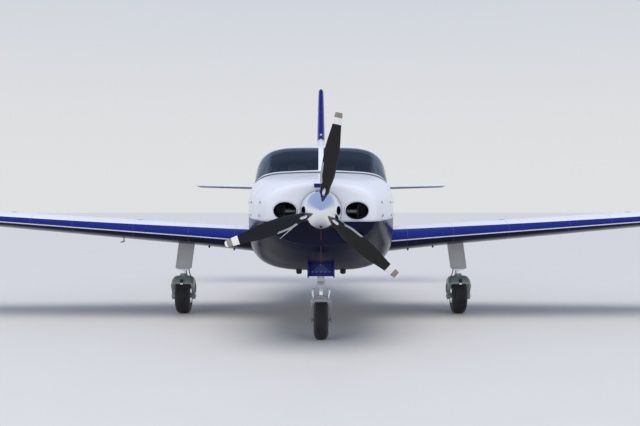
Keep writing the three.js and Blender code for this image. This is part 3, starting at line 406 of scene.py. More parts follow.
def pair(name, bm, finish, node=None, body=None, **options):
    """The same piece on both sides. The names of nodes and bodies get the side's name at their end."""
    for side, shape in (("port", bm.copy()), ("starboard", mirrored(bm))):
        if node:
            options["replaces"] = f"{node}_{side}"
        if body:
            options["body"] = f"{body}_{side}"
        piece(f"{name}_{side}", shape, finish, **options)
    bm.free()


# Fuselage form
# Station, half width, top z, widest z, bottom z, upper and lower squareness
FUSELAGE = [
    (420, 500, 1590, 1340, 1045, 2.4, 2.4),
    (470, 540, 1612, 1338, 1005, 2.5, 2.5),
    (620, 600, 1638, 1330, 925, 2.6, 2.6),
    (1000, 695, 1674, 1305, 790, 3.0, 3.0),
    (1450, 765, 1706, 1280, 705, 3.8, 3.4),
    (1900, 800, 1738, 1262, 670, 4.6, 3.5),
    (2250, 803, 1768, 1260, 664, 4.8, 3.5),
    (2520, 803, 1945, 1260, 664, 4.8, 3.5),
    (2760, 803, 2082, 1260, 664, 4.9, 3.5),
    (3150, 803, 2140, 1260, 666, 4.9, 3.5),
    (4400, 800, 2140, 1262, 672, 4.1, 3.4),
    (5380, 800, 2140, 1262, 672, 4.1, 3.4),
    (5650, 775, 2116, 1285, 712, 3.3, 3.1),
    (6500, 560, 2000, 1395, 930, 2.4, 2.4),
    (7300, 365, 1905, 1480, 1165, 2.2, 2.2),
    (7900, 215, 1835, 1550, 1330, 2.1, 2.1),
    (8310, 92, 1775, 1605, 1450, 2.0, 2.0),
]
BODY = table_curves(FUSELAGE, ("half", "top", "widest", "bottom", "upper", "lower"))
FIREWALL, BULKHEAD, TAIL_END = 1900, 5650, 8310
SECTION_POINTS = 128


def section(station, upper, inset=0.0):
    """Half width, height of the upper or lower half, and squareness of the fuselage at a station."""
    top, widest, bottom = (BODY[name](station) for name in ("top", "widest", "bottom"))
    height = top - widest if upper else widest - bottom
    return BODY["half"](station) - inset, height - inset, BODY["upper" if upper else "lower"](station)


def section_point(station, angle, inset=0.0):
    """A point of the fuselage skin: angle 0 is the port side, 90 degrees the top."""
    c, s = math.cos(angle), math.sin(angle)
    half, height, power = section(station, s >= 0, inset)
    out = (abs(c) ** power + abs(s) ** power) ** (-1 / power)
    return spot(half * out * c, station, BODY["widest"](station) + height * out * s)


def section_ring(station, inset=0.0):
    return [section_point(station, a, inset) for a in turn_angles(SECTION_POINTS)]


def skin_x(station, z, inset=0.0):
    """Half width of the skin at a station and height, in millimetres."""
    widest = BODY["widest"](station)
    half, height, power = section(station, z >= widest, inset)
    share = min(abs(z - widest) / height, 1.0)
    return half * (1 - share ** power) ** (1 / power)


def skin_z(station, x, below=False):
    """Height of the skin over a place across the aircraft, in millimetres."""
    half, height, power = section(station, not below)
    rise = height * (1 - min(abs(x) / half, 1.0) ** power) ** (1 / power)
    return BODY["widest"](station) + (-rise if below else rise)


def skin_normal(x, station, z):
    """Outward direction of the skin at a place on or near it."""
    def level(x, station, z):
        widest = BODY["widest"](station)
        half, height, power = section(station, z >= widest)
        return (abs(x) / half) ** power + (abs(z - widest) / height) ** power
    step = 0.5
    return Vector((level(x + step, station, z) - level(x - step, station, z),
                   level(x, station + step, z) - level(x, station - step, z),
                   level(x, station, z + step) - level(x, station, z - step))).normalized()


def strip(path, normals, width, high, deep=0.0015, fade=0):
    """Flat bead lying on a surface: a low rounded section carried along a path of points.

    With fade, the bead rises and widens over that many points from each end.
    """
    rings, count = [], len(path)
    for i, (point, up) in enumerate(zip(path, normals)):
        before, after = path[max(i - 1, 0)], path[min(i + 1, count - 1)]
        side = (after - before).normalized().cross(up).normalized()
        bead = [(-0.5, -deep), (0.5, -deep), (0.5, high * 0.5), (0.38, high * 0.9), (0.2, high),
                (-0.2, high), (-0.38, high * 0.9), (-0.5, high * 0.5)]
        share = min(1.0, 0.12 + min(i, count - 1 - i) / fade) if fade else 1.0
        wide = width * (0.4 + 0.6 * share)
        rings.append([point + side * a * wide + up * max(b * share, -deep) for a, b in bead])
    return lofted(rings)


def smooth_skin(thing):
    """Shades the outer face of a fuselage piece by the exact direction of its form."""
    mesh, near, aligned = thing.data, 6, 0.97
    corners = [corner.vector.copy() for corner in mesh.corner_normals]
    for face in mesh.polygons:
        x, y, z = face.center / MM
        station = y + LENGTH / 2
        out = skin_normal(x, station, z)
        beside = abs(abs(x) - skin_x(station, z))
        above = abs(z - skin_z(station, x, out.z < 0))
        if min(beside, above) < near and out.dot(face.normal) > aligned:
            for loop in face.loop_indices:
                x, y, z = mesh.vertices[mesh.loops[loop].vertex_index].co / MM
                corners[loop] = skin_normal(x, y + LENGTH / 2, z)
    mesh.normals_split_custom_set(corners)


def stations(low, high, pitch=40):
    return spread(low, high, max(int((high - low) / pitch) + 1, 2))


def shell(low, high, inner, pitch=40, outer=0.0):
    """Hollow length of the fuselage, open at both ends, between two depths under the skin."""
    outside = [section_ring(s, outer) for s in stations(low, high, pitch)]
    inside = [section_ring(s, inner) for s in stations(low, high, pitch)]
    return lofted(outside + inside[::-1], closed=True)


def solid_body(low, high, inset=0.0, pitch=40):
    return lofted([section_ring(s, inset) for s in stations(low, high, pitch)])


# Finishes: each is a material and the slot of the part that it belongs to
WHITE, PALE = (0.80, 0.83, 0.88), (0.62, 0.66, 0.74)
NAVY, ROYAL = (0.004, 0.005, 0.024), (0.012, 0.022, 0.21)
SEAM, DOOR_BLUE, PALE_UNDER_LINE = (0.16, 0.17, 0.19), (0.016, 0.028, 0.20), (0.78, 0.80, 0.84)
DIHEDRAL, TAIL_DIHEDRAL, WING_INCIDENCE = math.radians(4.4), math.radians(1.4), math.radians(3.5)


def lines_at(surface, axis, places, half=0.0011):
    """One on the fine lines where an axis has the given values, and nought beside them."""
    total = None
    for place in places:
        apart = surface.math("ABSOLUTE", surface.math("SUBTRACT", axis, place))
        near = surface.math("LESS_THAN", apart, half)
        total = near if total is None else surface.math("MAXIMUM", total, near)
    return total


def painted(name, slot, regions, seams=None):
    """Glossy clear-coated paint in the colours that regions gives, with grooves along its seams."""
    surface = Surface(name, WHITE, 0.24, 0.0, Coat_Weight=0.04, Coat_Roughness=0.05, Specular_IOR_Level=0.11)
    colour = regions(surface)
    patches = surface.step(surface.noise(2.2, 5.0, 0.6), 0.4, 0.8, 0.0, 0.35)
    colour = surface.mix(patches, colour, (0.90, 0.88, 0.84), "MULTIPLY")
    if seams:
        share = seams(surface)
        colour = surface.mix(share, colour, SEAM)
        surface.bump(surface.math("SUBTRACT", 1.0, share), 0.0008, 0.6)
    surface.set("Base Color", colour)
    surface.set("Roughness", surface.step(surface.noise(5.0, 5.0, 0.6), 0.3, 0.75, 0.20, 0.28))
    surface.bump(surface.noise(900, 2.0), 0.00004, 0.35)
    return surface.material, slot


def station_lines(*places):
    return [(place - LENGTH / 2) * MM for place in places]


def fuselage_regions(surface):
    """White above, navy below, with a thin pale line where they meet."""
    _, y, z = surface.axes()
    low = surface.math("SUBTRACT", z, surface.step(y, -3.9, 3.4, 1.235, 1.42))
    navy = surface.math("LESS_THAN", low, 0.0)
    pale = surface.math("LESS_THAN", low, 0.012)
    return surface.mix(navy, surface.mix(pale, WHITE, PALE), NAVY)


def rivets(surface, along, across, pitch, row):
    """Flush rivets: small dots in rows, at less than full strength."""
    radius, strength = 0.0026, 0.45

    def from_middle(axis, step):
        part = surface.math("FRACT", surface.math("DIVIDE", axis, step))
        return surface.math("MULTIPLY", surface.math("SUBTRACT", part, 0.5), step)
    a, b = from_middle(along, pitch), from_middle(across, row)
    apart = surface.math("ADD", surface.math("MULTIPLY", a, a), surface.math("MULTIPLY", b, b))
    return surface.math("MULTIPLY", surface.math("LESS_THAN", apart, radius ** 2), strength)


def fuselage_seams(surface):
    """Ring seams between the skin sheets, and rivets in rows both ways."""
    _, y, z = surface.axes()
    rings = lines_at(surface, y, station_lines(2140, 3380, 4560, 5420, 6060, 6660, 7240))
    dots = surface.math("MAXIMUM", rivets(surface, z, y, 0.036, 0.30), rivets(surface, y, z, 0.036, 0.31))
    return surface.math("MAXIMUM", rings, dots)


def cowl_seams(surface):
    """Access doors on the upper cowl: seams across it over part of its height."""
    _, y, z = surface.axes()
    rings = lines_at(surface, y, station_lines(1010, 1640))
    return surface.math("MULTIPLY", rings, surface.math("GREATER_THAN", z, 1.30))


def wing_regions(surface):
    """White top, royal blue leading edge with a pale line under it, navy underside.

    Heights are taken from the wing's own plane through the leading edge, which rises outwards
    and falls to the rear.
    """
    calc = surface.math
    x, y, z = surface.axes()
    out = calc("ABSOLUTE", x)
    height = calc("SUBTRACT", z, calc("MULTIPLY", out, math.tan(DIHEDRAL)))
    fall = calc("MULTIPLY", calc("ADD", y, 1.5), math.tan(WING_INCIDENCE))
    inner, outer = surface.step(out, 0.6, 1.5, 0.8948, 0.9052), surface.step(out, 1.5, 5.9, 0.0, 0.0116)
    height = calc("SUBTRACT", calc("ADD", height, fall), calc("ADD", inner, outer))
    ahead = calc("LESS_THAN", y, -1.1)
    deep = calc("MULTIPLY", calc("EXPONENT", calc("DIVIDE", calc("SUBTRACT", 0.93, out), 3.0)), 0.130)
    blue = calc("MULTIPLY", ahead, calc("LESS_THAN", height, deep))
    low = surface.step(out, 0.9, 3.9, -0.005, -0.016)
    pale = calc("MULTIPLY", calc("LESS_THAN", height, low), ahead)
    low = calc("SUBTRACT", low, calc("MULTIPLY", ahead, 0.012))
    navy = calc("LESS_THAN", height, calc("MULTIPLY", low, ahead))
    # A thin pale line just under the blue leading edge.
    colour = surface.mix(pale, surface.mix(blue, WHITE, ROYAL), PALE_UNDER_LINE)
    return surface.mix(navy, colour, NAVY)


def control_seams(surface):
    """Rib seams and rivet rows, as the flaps and ailerons have them."""
    x, y, _ = surface.axes()
    out = surface.math("ABSOLUTE", x)
    ribs = lines_at(surface, out, [1.05, 1.62, 2.3, 3.05, 3.57, 4.4, 5.2, 5.88], 0.0010)
    dots = surface.math("MAXIMUM", rivets(surface, y, out, 0.038, 0.33), rivets(surface, out, y, 0.038, 0.40))
    return surface.math("MAXIMUM", ribs, dots)


def wing_seams(surface):
    """The same with the seams along the two spars."""
    x, y, _ = surface.axes()
    swept = surface.math("SUBTRACT", y, surface.math("MULTIPLY", surface.math("ABSOLUTE", x), 0.028))
    return surface.math("MAXIMUM", control_seams(surface), lines_at(surface, swept, [-1.02, -0.62]))


def tail_regions(surface):
    """White above the tailplane's leading edge, navy below."""
    x, _, z = surface.axes()
    rise = surface.math("MULTIPLY", surface.math("ABSOLUTE", x), math.tan(TAIL_DIHEDRAL))
    navy = surface.math("LESS_THAN", z, surface.math("ADD", rise, 1.676))
    return surface.mix(navy, WHITE, NAVY)


def tail_seams(surface):
    x, _, _ = surface.axes()
    return lines_at(surface, surface.math("ABSOLUTE", x), [0.62, 1.2, 1.78], 0.001)


def fin_regions(surface):
    """Blue from a slanting line upwards, white below it."""
    _, y, z = surface.axes()
    edge = surface.math("ADD", surface.math("MULTIPLY", y, -0.10), 2.90)
    blue = surface.math("GREATER_THAN", z, edge)
    pale = surface.math("GREATER_THAN", z, surface.math("SUBTRACT", edge, 0.03))
    return surface.mix(blue, surface.mix(pale, WHITE, PALE), ROYAL)


def fin_seams(surface):
    _, _, z = surface.axes()
    return lines_at(surface, z, [2.16, 2.62, 3.06, 3.38], 0.001)


def one_colour(colour):
    """Regions of a piece painted in one colour all over."""
    return lambda surface: colour


COWL_PAINT = painted("cowl_paint", "white_paint", fuselage_regions, cowl_seams)
BODY_PAINT = painted("fuselage_paint", "white_paint", fuselage_regions, fuselage_seams)
WING_PAINT = painted("wing_paint", "white_paint", wing_regions, wing_seams)
CONTROL_PAINT = painted("flap_and_aileron_paint", "white_paint", wing_regions, control_seams)
TAIL_PAINT = painted("tailplane_paint", "white_paint", tail_regions, tail_seams)
FIN_PAINT = painted("fin_paint", "blue_paint", fin_regions, fin_seams)
WHITE_PAINT = painted("plain_white_paint", "white_paint", one_colour(WHITE))
ROYAL_PAINT = painted("gear_door_paint", "blue_paint", one_colour(DOOR_BLUE))
# Lighter blue of the nose plate's raised facet: a painted highlight of light on the plate's crease.
FACET_HIGHLIGHT_PAINT = painted("nose_plate_facet_painted_highlight", "blue_paint", one_colour((0.05, 0.07, 0.24)))


def metal(name, slot, colour, rough, scratch=0.06):
    """Bare metal with fine streaks in its gloss and a faint change of tone."""
    surface = Surface(name, colour, rough, 1.0)
    streaks = surface.noise(1.0, 4.0, 0.6, surface.scaled((40, 40, 560)))
    surface.set("Roughness", surface.step(streaks, 0.3, 0.7, max(rough - scratch, 0.01), rough + scratch))
    surface.bump(streaks, 0.00003, 0.3)
    tone = surface.step(surface.noise(12, 4.0), 0.35, 0.7, 0.0, 0.35)
    surface.set("Base Color", surface.mix(tone, colour, tuple(c * 0.8 for c in colour)))
    return surface.material, slot


STEEL = metal("gear_steel_finish", "gear_steel", (0.50, 0.51, 0.53), 0.32)
BRIGHT = metal("polished_edge", "polished_metal", (0.82, 0.83, 0.85), 0.12, 0.05)
BOOT = metal("ice_guard_metal", "polished_metal", (0.50, 0.51, 0.50), 0.3)
ALLOY = metal("wheel_alloy", "wheel_metal", (0.56, 0.57, 0.58), 0.38)
OLEO = metal("bright_piston", "polished_metal", (0.86, 0.87, 0.88), 0.08, 0.03)


def plain(name, slot, colour, rough, worn, bumps, **sockets):
    """A worn finish of one colour.

    Worn is the spread, scale and tint of its wear; bumps are their scale, detail, height and strength.
    """
    surface = Surface(name, colour, rough, 0.0, **sockets)
    surface.wear(rough, *worn)
    if bumps:
        scale, detail, height, strength = bumps
        surface.bump(surface.noise(scale, detail), height, strength)
    return surface.material, slot


CAST = plain("gear_grey_paint", "engine_metal", (0.30, 0.31, 0.32), 0.42, (0.10, 14, 0.5),
             (260, 3.0, 0.0004, 0.35), Coat_Weight=0.2, Coat_Roughness=0.2)
PLATE = plain("gear_door_grey", "gear_grey", (0.46, 0.47, 0.48), 0.34, (0.08, 9, 0.35),
              (500, 2.0, 0.0001, 0.3), Coat_Weight=0.3)
FORK_GREY = plain("nose_fork_paint", "gear_steel", (0.36, 0.35, 0.40), 0.36, (0.1, 16, 0.35),
                  (320, 3.0, 0.00025, 0.35), Coat_Weight=0.3, Coat_Roughness=0.15)
FORK_GREEN = plain("main_leg_paint", "gear_grey", (0.34, 0.38, 0.37), 0.38, (0.1, 14, 0.4),
                   (280, 3.0, 0.0003, 0.35), Coat_Weight=0.3, Coat_Roughness=0.15)
SEAL = plain("black_rubber_seal", "panel_trim", (0.012, 0.012, 0.013), 0.6, (0.1, 30),
             (700, 2.0, 0.0002, 0.4))
BLACK = plain("inner_black", "engine_metal", (0.006, 0.006, 0.007), 0.7, (0.1, 18, 0.4),
              (200, 3.0, 0.0003, 0.4))
# Grey of the strip under the windshield's sill strip: painted shade, standing in for the shadow below the
# raised strip.
SILL_SHADE_GREY = plain("windshield_sill_shade_paint", "panel_trim", (0.13, 0.145, 0.15), 0.55, (0.1, 22, 0.5),
                (260, 3.0, 0.0004, 0.4))
SEAM_SEALER = plain("chin_seam_sealer", "panel_trim", (0.10, 0.030, 0.020), 0.5, (0.1, 30, 0.5),
                    (400, 3.0, 0.0003, 0.4))
PIPING = plain("seat_piping_leather", "seat_leather", (0.10, 0.095, 0.09), 0.5, (0.1, 60, 0.3),
               (900, 2.0, 0.0002, 0.4))
TRIM = plain("cabin_lining", "panel_trim", (0.42, 0.41, 0.385), 0.8, (0.06, 8, 0.25),
             (700, 3.0, 0.0005, 0.5), Sheen_Weight=0.15)
PLASTIC = plain("moulded_dark_plastic", "panel_trim", (0.030, 0.031, 0.034), 0.55, (0.08, 20, 0.3),
                (650, 3.0, 0.0004, 0.5))
PANEL_GREY = plain("instrument_panel_paint", "panel_trim", (0.085, 0.09, 0.10), 0.6, (0.06, 16, 0.3),
                   (900, 2.0, 0.0002, 0.4))
DIAL_WHITE = plain("dial_marks", "panel_trim", (0.72, 0.72, 0.70), 0.5, (0.08, 60, 0.2), None)


def spinner_chrome():
    surface = Surface("spinner_chrome", (0.90, 0.91, 0.93), 0.03, 1.0)
    surface.set("Roughness", surface.step(surface.noise(30, 4.0), 0.3, 0.75, 0.015, 0.07))
    surface.bump(surface.noise(9, 2.0), 0.0003, 0.05)
    return surface.material, "polished_metal"


def tyre_rubber():
    surface = Surface("tyre_rubber_finish", (0.016, 0.016, 0.017), 0.78, 0.0, Sheen_Weight=0.15)
    dust = surface.step(surface.noise(9, 6.0, 0.65), 0.42, 0.78, 0.0, 0.35)
    surface.set("Base Color", surface.mix(dust, (0.015, 0.015, 0.016), (0.085, 0.078, 0.068)))
    surface.bump(surface.noise(420, 4.0), 0.0005, 0.5)
    return surface.material, "tyre_rubber"


def burnt_steel():
    surface = Surface("burnt_exhaust_steel", (0.10, 0.085, 0.075), 0.5, 0.8)
    soot = surface.step(surface.noise(16, 5.0, 0.6), 0.35, 0.7)
    surface.set("Base Color", surface.mix(soot, (0.09, 0.065, 0.055), (0.012, 0.011, 0.011)))
    surface.set("Roughness", surface.step(surface.noise(40, 4.0), 0.3, 0.7, 0.4, 0.65))
    surface.bump(surface.noise(220, 3.0), 0.0003, 0.4)
    return surface.material


def blade_paint():
    """Black with worn spots, the tip white with a warm grey band, by the distance from the axis."""
    black, tip_from, band_from, band_to = (0.011, 0.011, 0.012), 0.815, 0.878, 0.926
    surface = Surface("propeller_paint", black, 0.42, 0.0, Specular_IOR_Level=0.25)
    calc = surface.math
    chips = surface.step(surface.noise(140, 5.0, 0.7), 0.66, 0.72, 0.0, 0.45)
    x, _, z = surface.axes()
    up = calc("SUBTRACT", z, 1.340)
    out = calc("SQRT", calc("ADD", calc("MULTIPLY", x, x), calc("MULTIPLY", up, up)))
    band = calc("MULTIPLY", calc("GREATER_THAN", out, band_from), calc("LESS_THAN", out, band_to))
    colour = surface.mix(calc("GREATER_THAN", out, tip_from), black, (0.80, 0.79, 0.77))
    colour = surface.mix(band, colour, (0.28, 0.25, 0.21))
    surface.set("Base Color", surface.mix(chips, colour, (0.20, 0.20, 0.21)))
    surface.set("Roughness", surface.step(surface.noise(20, 5.0), 0.3, 0.7, 0.28, 0.46))
    surface.bump(surface.noise(300, 3.0), 0.00015, 0.4)
    return surface.material, "black_blade"


def glass(name, tint, cover, edge=None):
    """Tinted acrylic: see-through from straight ahead, more of a mirror at a shallow angle. With edge, its
    outer parts are in a paler colour, which is painted sky light and reflection.
    """
    surface = Surface(name, tint, 0.03, 0.0, IOR=1.5, Coat_Weight=0.2, Coat_Roughness=0.02,
                      Specular_IOR_Level=0.4)
    facing = surface.nodes.new("ShaderNodeLayerWeight")
    facing.inputs["Blend"].default_value = 0.35
    # Paler colour beyond about 0.6 m from the middle: painted sky light and painted reflection on the glass.
    if edge:
        out = surface.math("ABSOLUTE", surface.axes()[0])
        surface.set("Base Color", surface.mix(surface.step(out, 0.585, 0.635), tint, edge))
    haze = surface.step(surface.noise(6, 6.0, 0.7), 0.45, 0.9, 0.0, 0.05)
    alpha = surface.step(facing.outputs["Facing"], 0.2, 0.9, cover, 0.95)
    surface.set("Alpha", surface.math("ADD", alpha, haze))
    surface.set("Roughness", surface.step(surface.noise(14, 5.0), 0.3, 0.8, 0.015, 0.06))
    surface.bump(surface.noise(2.5, 2.0), 0.0006, 0.05)
    return surface.material, "window_glass"


def screen_glass():
    surface = Surface("screen_glass", (0.004, 0.005, 0.007), 0.08, 0.0, Coat_Weight=1.0)
    surface.set("Roughness", surface.step(surface.noise(18, 5.0), 0.3, 0.8, 0.05, 0.16))
    surface.bump(surface.noise(3, 2.0), 0.0003, 0.05)
    return surface.material, "window_glass"


def beacon_glass():
    """Clear ribbed lens."""
    surface = Surface("beacon_lens", (0.72, 0.74, 0.78), 0.08, 0.0, Coat_Weight=0.6, Coat_Roughness=0.04)
    ribs = surface.texture("ShaderNodeTexWave", 70, "Fac")
    surface.bump(ribs, 0.0008, 0.5)
    surface.set("Base Color", surface.mix(ribs, (0.78, 0.80, 0.84), (0.52, 0.55, 0.60)))
    return surface.material, "lamp_lens"


def seat_leather():
    surface = Surface("seat_leather_finish", (0.33, 0.30, 0.26), 0.46, 0.0, Sheen_Weight=0.08)
    surface.bump(surface.texture("ShaderNodeTexVoronoi", 420, "Distance"), 0.0004, 0.5)
    surface.bump(surface.noise(26, 5.0, 0.6), 0.0012, 0.4)
    surface.wear(0.46, 0.1, 12, 0.4)
    return surface.material, "seat_leather"


def floor_carpet():
    surface = Surface("floor_carpet", (0.055, 0.055, 0.062), 0.95, 0.0, Sheen_Weight=0.4)
    tufts = surface.noise(520, 4.0, 0.7)
    share = surface.step(tufts, 0.35, 0.65)
    surface.set("Base Color", surface.mix(share, (0.030, 0.031, 0.036), (0.085, 0.085, 0.095)))
    surface.bump(tufts, 0.002, 0.8)
    return surface.material


def belt_webbing():
    surface = Surface("belt_webbing", (0.045, 0.046, 0.05), 0.75, 0.0, Sheen_Weight=0.3)
    weave = surface.texture("ShaderNodeTexWave", 160, "Fac")
    surface.bump(weave, 0.0006, 0.6)
    surface.set("Base Color", surface.mix(weave, (0.030, 0.031, 0.034), (0.07, 0.07, 0.075)))
    return surface.material, "panel_trim"


CHROME, RUBBER, BLADE_FINISH, LENS = spinner_chrome(), tyre_rubber(), blade_paint(), beacon_glass()
LEATHER, WEBBING, SCREEN = seat_leather(), belt_webbing(), screen_glass()
# The windshield's second colour is the paler outer band: painted sky light and reflection.
WINDSHIELD_GLASS = glass("windshield_acrylic", (0.007, 0.018, 0.030), 0.36, (0.085, 0.12, 0.155))
CABIN_GLASS = glass("cabin_acrylic", (0.03, 0.035, 0.045), 0.20)


# Outlines
def bent_corners(corners, radius, steps=6):
    """Closed outline through corners, each corner rounded over the given length."""
    outline = []
    for i, corner in enumerate(corners):
        here = Vector(corner)
        before, after = Vector(corners[i - 1]), Vector(corners[(i + 1) % len(corners)])
        start = here + (before - here).normalized() * radius
        end = here + (after - here).normalized() * radius
        for t in spread(0, 1, steps + 1):
            outline.append(start * (1 - t) ** 2 + here * 2 * t * (1 - t) + end * t * t)
    return outline


def along_x(outline, low, high):
    """Prism across the aircraft of a (station, z) outline."""
    return slab([spot(low, s, z) for s, z in outline], (high - low) * MM, (1, 0, 0))


def along_y(outline, low, high):
    """Prism along the aircraft of an (x, z) outline."""
    return slab([spot(x, low, z) for x, z in outline], (high - low) * MM, (0, 1, 0))


def oval(x, z, wide, tall, count=64):
    return [Vector((x + wide * math.cos(a), z + tall * math.sin(a))) for a in turn_angles(count)]


def both_sides(bm):
    return joined(bm.copy(), mirrored(bm))


# Cowl
COWL_SKIN, COWL_SPLIT, THRUST_Z, BOWL_Z = 16, 1250, 1340, 1339
BOWL_END, BOWL_START, BOWL_BEND, SHAFT_HOLE = 470, 421, 0.62, 150
INLET, SMALL_INLET = (342, 1338, 114, 86), (172, 1345, 17, 35)  # x, z, half width, half height
LIP_ROLL, SMALL_LIP_ROLL = 7.0, 4.5
NOSE_WELL = (122, 960, 1660)  # half width, station from, to
EXHAUST = {"x": 240, "radius": 32, "from": (1480, 1030), "to": (1700, 655), "room": 6}
CHIN_LINE = [157, 235, 314, 390], [1268, 1204, 1138, 1073]
LATCH_STATIONS, LATCH_HEIGHTS = (640, 1180, 1760), (1290, 1420)
LIP_PLATE = {"z": 1578, "half": 67}


def bowl_point(share, angle, inset=0.0):
    """A point of the rounded cowl front, from the shaft hole (0) to its rim (1)."""
    rim = section_point(BOWL_END, angle, inset)
    hole = spot(SHAFT_HOLE * math.cos(angle), BOWL_END, THRUST_Z - 2 + SHAFT_HOLE * 0.9 * math.sin(angle))
    point = hole.lerp(rim, share)
    bend = max((share - BOWL_BEND) / (1 - BOWL_BEND), 0.0)
    back = 1 - math.sqrt(max(1 - bend * bend, 0.0))
    start = BOWL_START + inset * 0.9
    point.y = spot(0, start + (BOWL_END - start) * back, 0).y
    return point


def cowl_shell():
    shares = [0, 0.15, 0.3, 0.45, 0.58, 0.66, 0.73, 0.79, 0.84, 0.88, 0.91, 0.935, 0.955, 0.97, 0.982,
              0.992, 1.0]
    angles = turn_angles(SECTION_POINTS)
    outer = [[bowl_point(s, a) for a in angles] for s in shares]
    outer += [section_ring(s) for s in stations(BOWL_END, FIREWALL - 1.2, 30)[1:]]
    inner = [section_ring(s, COWL_SKIN) for s in stations(FIREWALL - 1.2, BOWL_END + 20, 60)]
    inner += [[bowl_point(s, a, COWL_SKIN) for a in angles] for s in (0.97, 0.9, 0.8, 0.6, 0.3, 0.0)]
    return lofted(outer + inner, closed=True)


def exhaust_room():
    """Room of one exhaust pipe in the lower cowl, run on a little past the pipe's end."""
    low = spot(EXHAUST["x"], *EXHAUST["from"])
    high = low.lerp(spot(EXHAUST["x"], *EXHAUST["to"]), 1.1)
    return tube([low, high], (EXHAUST["radius"] + EXHAUST["room"]) * MM, 32)


def make_cowl():
    """Upper and lower cowl, cut from one shell with its inlets, wheel well and exhaust openings."""
    half, start, end = NOSE_WELL
    inlets = joined(both_sides(along_y(oval(*INLET), 380, 560)),
                    both_sides(along_y(oval(*SMALL_INLET, 40), 380, 560)))
    whole = carved(cowl_shell(), inlets, block((-half, start, 600), (half, end, 1000)))
    below, above = COWL_SPLIT - 0.6, COWL_SPLIT + 0.6
    lower = carved(whole.copy(), block((-1000, 300, 0), (1000, 2000, below)), how="INTERSECT")
    lower = carved(lower, both_sides(exhaust_room()))
    upper = carved(whole, block((-1000, 300, above), (1000, 2000, 2200)), how="INTERSECT")
    smooth_skin(piece("upper_cowl_skin", upper, COWL_PAINT, "upper_cowl"))
    smooth_skin(piece("lower_cowl_skin", lower, COWL_PAINT, "lower_cowl", slot="navy_paint"))


def on_bowl(x, z):
    """Station of the rounded cowl front at a place seen from ahead."""
    low, high = 0.0, 1.0
    angle, wanted = math.atan2(z - BOWL_Z, x), math.hypot(x, z - BOWL_Z)
    for _ in range(24):
        middle = (low + high) / 2
        p = bowl_point(middle, angle)
        near = math.hypot(p.x / MM, p.z / MM - BOWL_Z) < wanted
        low, high = (middle, high) if near else (low, middle)
    return bowl_point((low + high) / 2, angle).y / MM + LENGTH / 2


def make_inlets():
    """Rolled bright lips and dark ducts that narrow a little to the rear."""
    lips, ducts, small = [], [], []
    for side in (1, -1):
        for inlet, roll, store in ((INLET, LIP_ROLL, lips), (SMALL_INLET, SMALL_LIP_ROLL, small)):
            x, z, wide, tall = inlet
            rim = oval(side * x, z, wide + 1.5, tall + 1.5)
            path = [spot(p.x, on_bowl(p.x, p.y) + 3.0, p.y) for p in rim]
            store.append(tube(path, roll * MM, closed=True))
            rings = []
            for deep, shrink in ((6, 0.0), (22, 5.0), (60, 12.0), (150, 16.0), (235, 13.0)):
                less = shrink * wide / INLET[2]
                rings.append([spot(p.x, (on_bowl(p.x, p.y) if deep < 60 else 430) + deep, p.y)
                              for p in oval(side * x, z, wide - less, tall - less)])
            ducts.append(lofted(rings, capped=False))
    piece("inlet_lips", joined(*lips), BRIGHT, sharp=80)
    piece("small_inlet_lips", joined(*small), BRIGHT, sharp=80)
    sleeve = joined(*ducts)
    bmesh.ops.solidify(sleeve, geom=sleeve.faces[:], thickness=0.002)
    piece("inlet_ducts", sleeve, BLACK, sharp=50)


def on_front(points):
    """Places on the rounded cowl front, with their outward directions, for (x, z) points."""
    path, ways = [], []
    for x, z in points:
        here = spot(x, on_bowl(x, z), z)
        right, above = spot(x + 4, on_bowl(x + 4, z), z), spot(x, on_bowl(x, z + 4), z + 4)
        path.append(here)
        ways.append((right - here).cross(above - here).normalized())
    return path, ways


def skin_stud(x, station, z):
    """Fastener on the skin at a place."""
    return stud(spot(x, station, z), skin_normal(x, station, z), 0.0055, 0.0012)


def make_cowl_details():
    """Plate on the upper lip, white strips on the chin that are painted highlights, centre seam of the chin,
    latches and fasteners.
    """
    chin = curve_through(*CHIN_LINE)
    # White strips along the chin's lip: painted highlights of bright edge lines.
    lines = []
    for side in (1, -1):
        path, ways = on_front([(side * x, chin(x)) for x in spread(157, 390, 22)])
        lines.append(strip(path, ways, 0.007, 0.0018, fade=4))
    piece("chin_painted_highlight_lines", joined(*lines), WHITE_PAINT, sharp=60)
    path, ways = on_front([(0, z) for z in spread(1180, 1062, 14)])
    for station in spread(500, 940, 12):
        place = (0, station, skin_z(station, 0, below=True))
        path.append(spot(*place))
        ways.append(skin_normal(*place))
    piece("chin_centre_seam", strip(path, ways, 0.006, 0.002), SEAM_SEALER, sharp=60)
    path, ways = on_front([(x, LIP_PLATE["z"]) for x in spread(-LIP_PLATE["half"], LIP_PLATE["half"], 11)])
    piece("cowl_lip_plate", strip(path, ways, 0.038, 0.003), ROYAL_PAINT, sharp=60, slot="navy_paint")
    latches, studs = [], []
    for side in (1, -1):
        for station in LATCH_STATIONS:
            for z in LATCH_HEIGHTS:
                place = (side * skin_x(station, z), station, z)
                here, out = spot(*place), skin_normal(*place)
                long = Vector((0, 0.034, 0))
                latches.append(strip([here - long, here + long], [out, out], 0.020, 0.0025))
                latches.append(tube([here + out * 0.001, here + out * 0.004], 0.006, 14))
        for station in spread(560, 1860, 19):
            for z in (COWL_SPLIT + 22, COWL_SPLIT - 22):
                studs.append(skin_stud(side * skin_x(station, z), station, z))
        for z in spread(1310, 1600, 7):
            studs.append(skin_stud(side * skin_x(FIREWALL - 24, z), FIREWALL - 24, z))
    for x in spread(-560, 560, 11):
        studs.append(skin_stud(x, FIREWALL - 24, skin_z(FIREWALL - 24, x)))
    piece("cowl_latches", joined(*latches), STEEL, sharp=40)
    piece("cowl_fasteners", joined(*studs), STEEL, sharp=50)


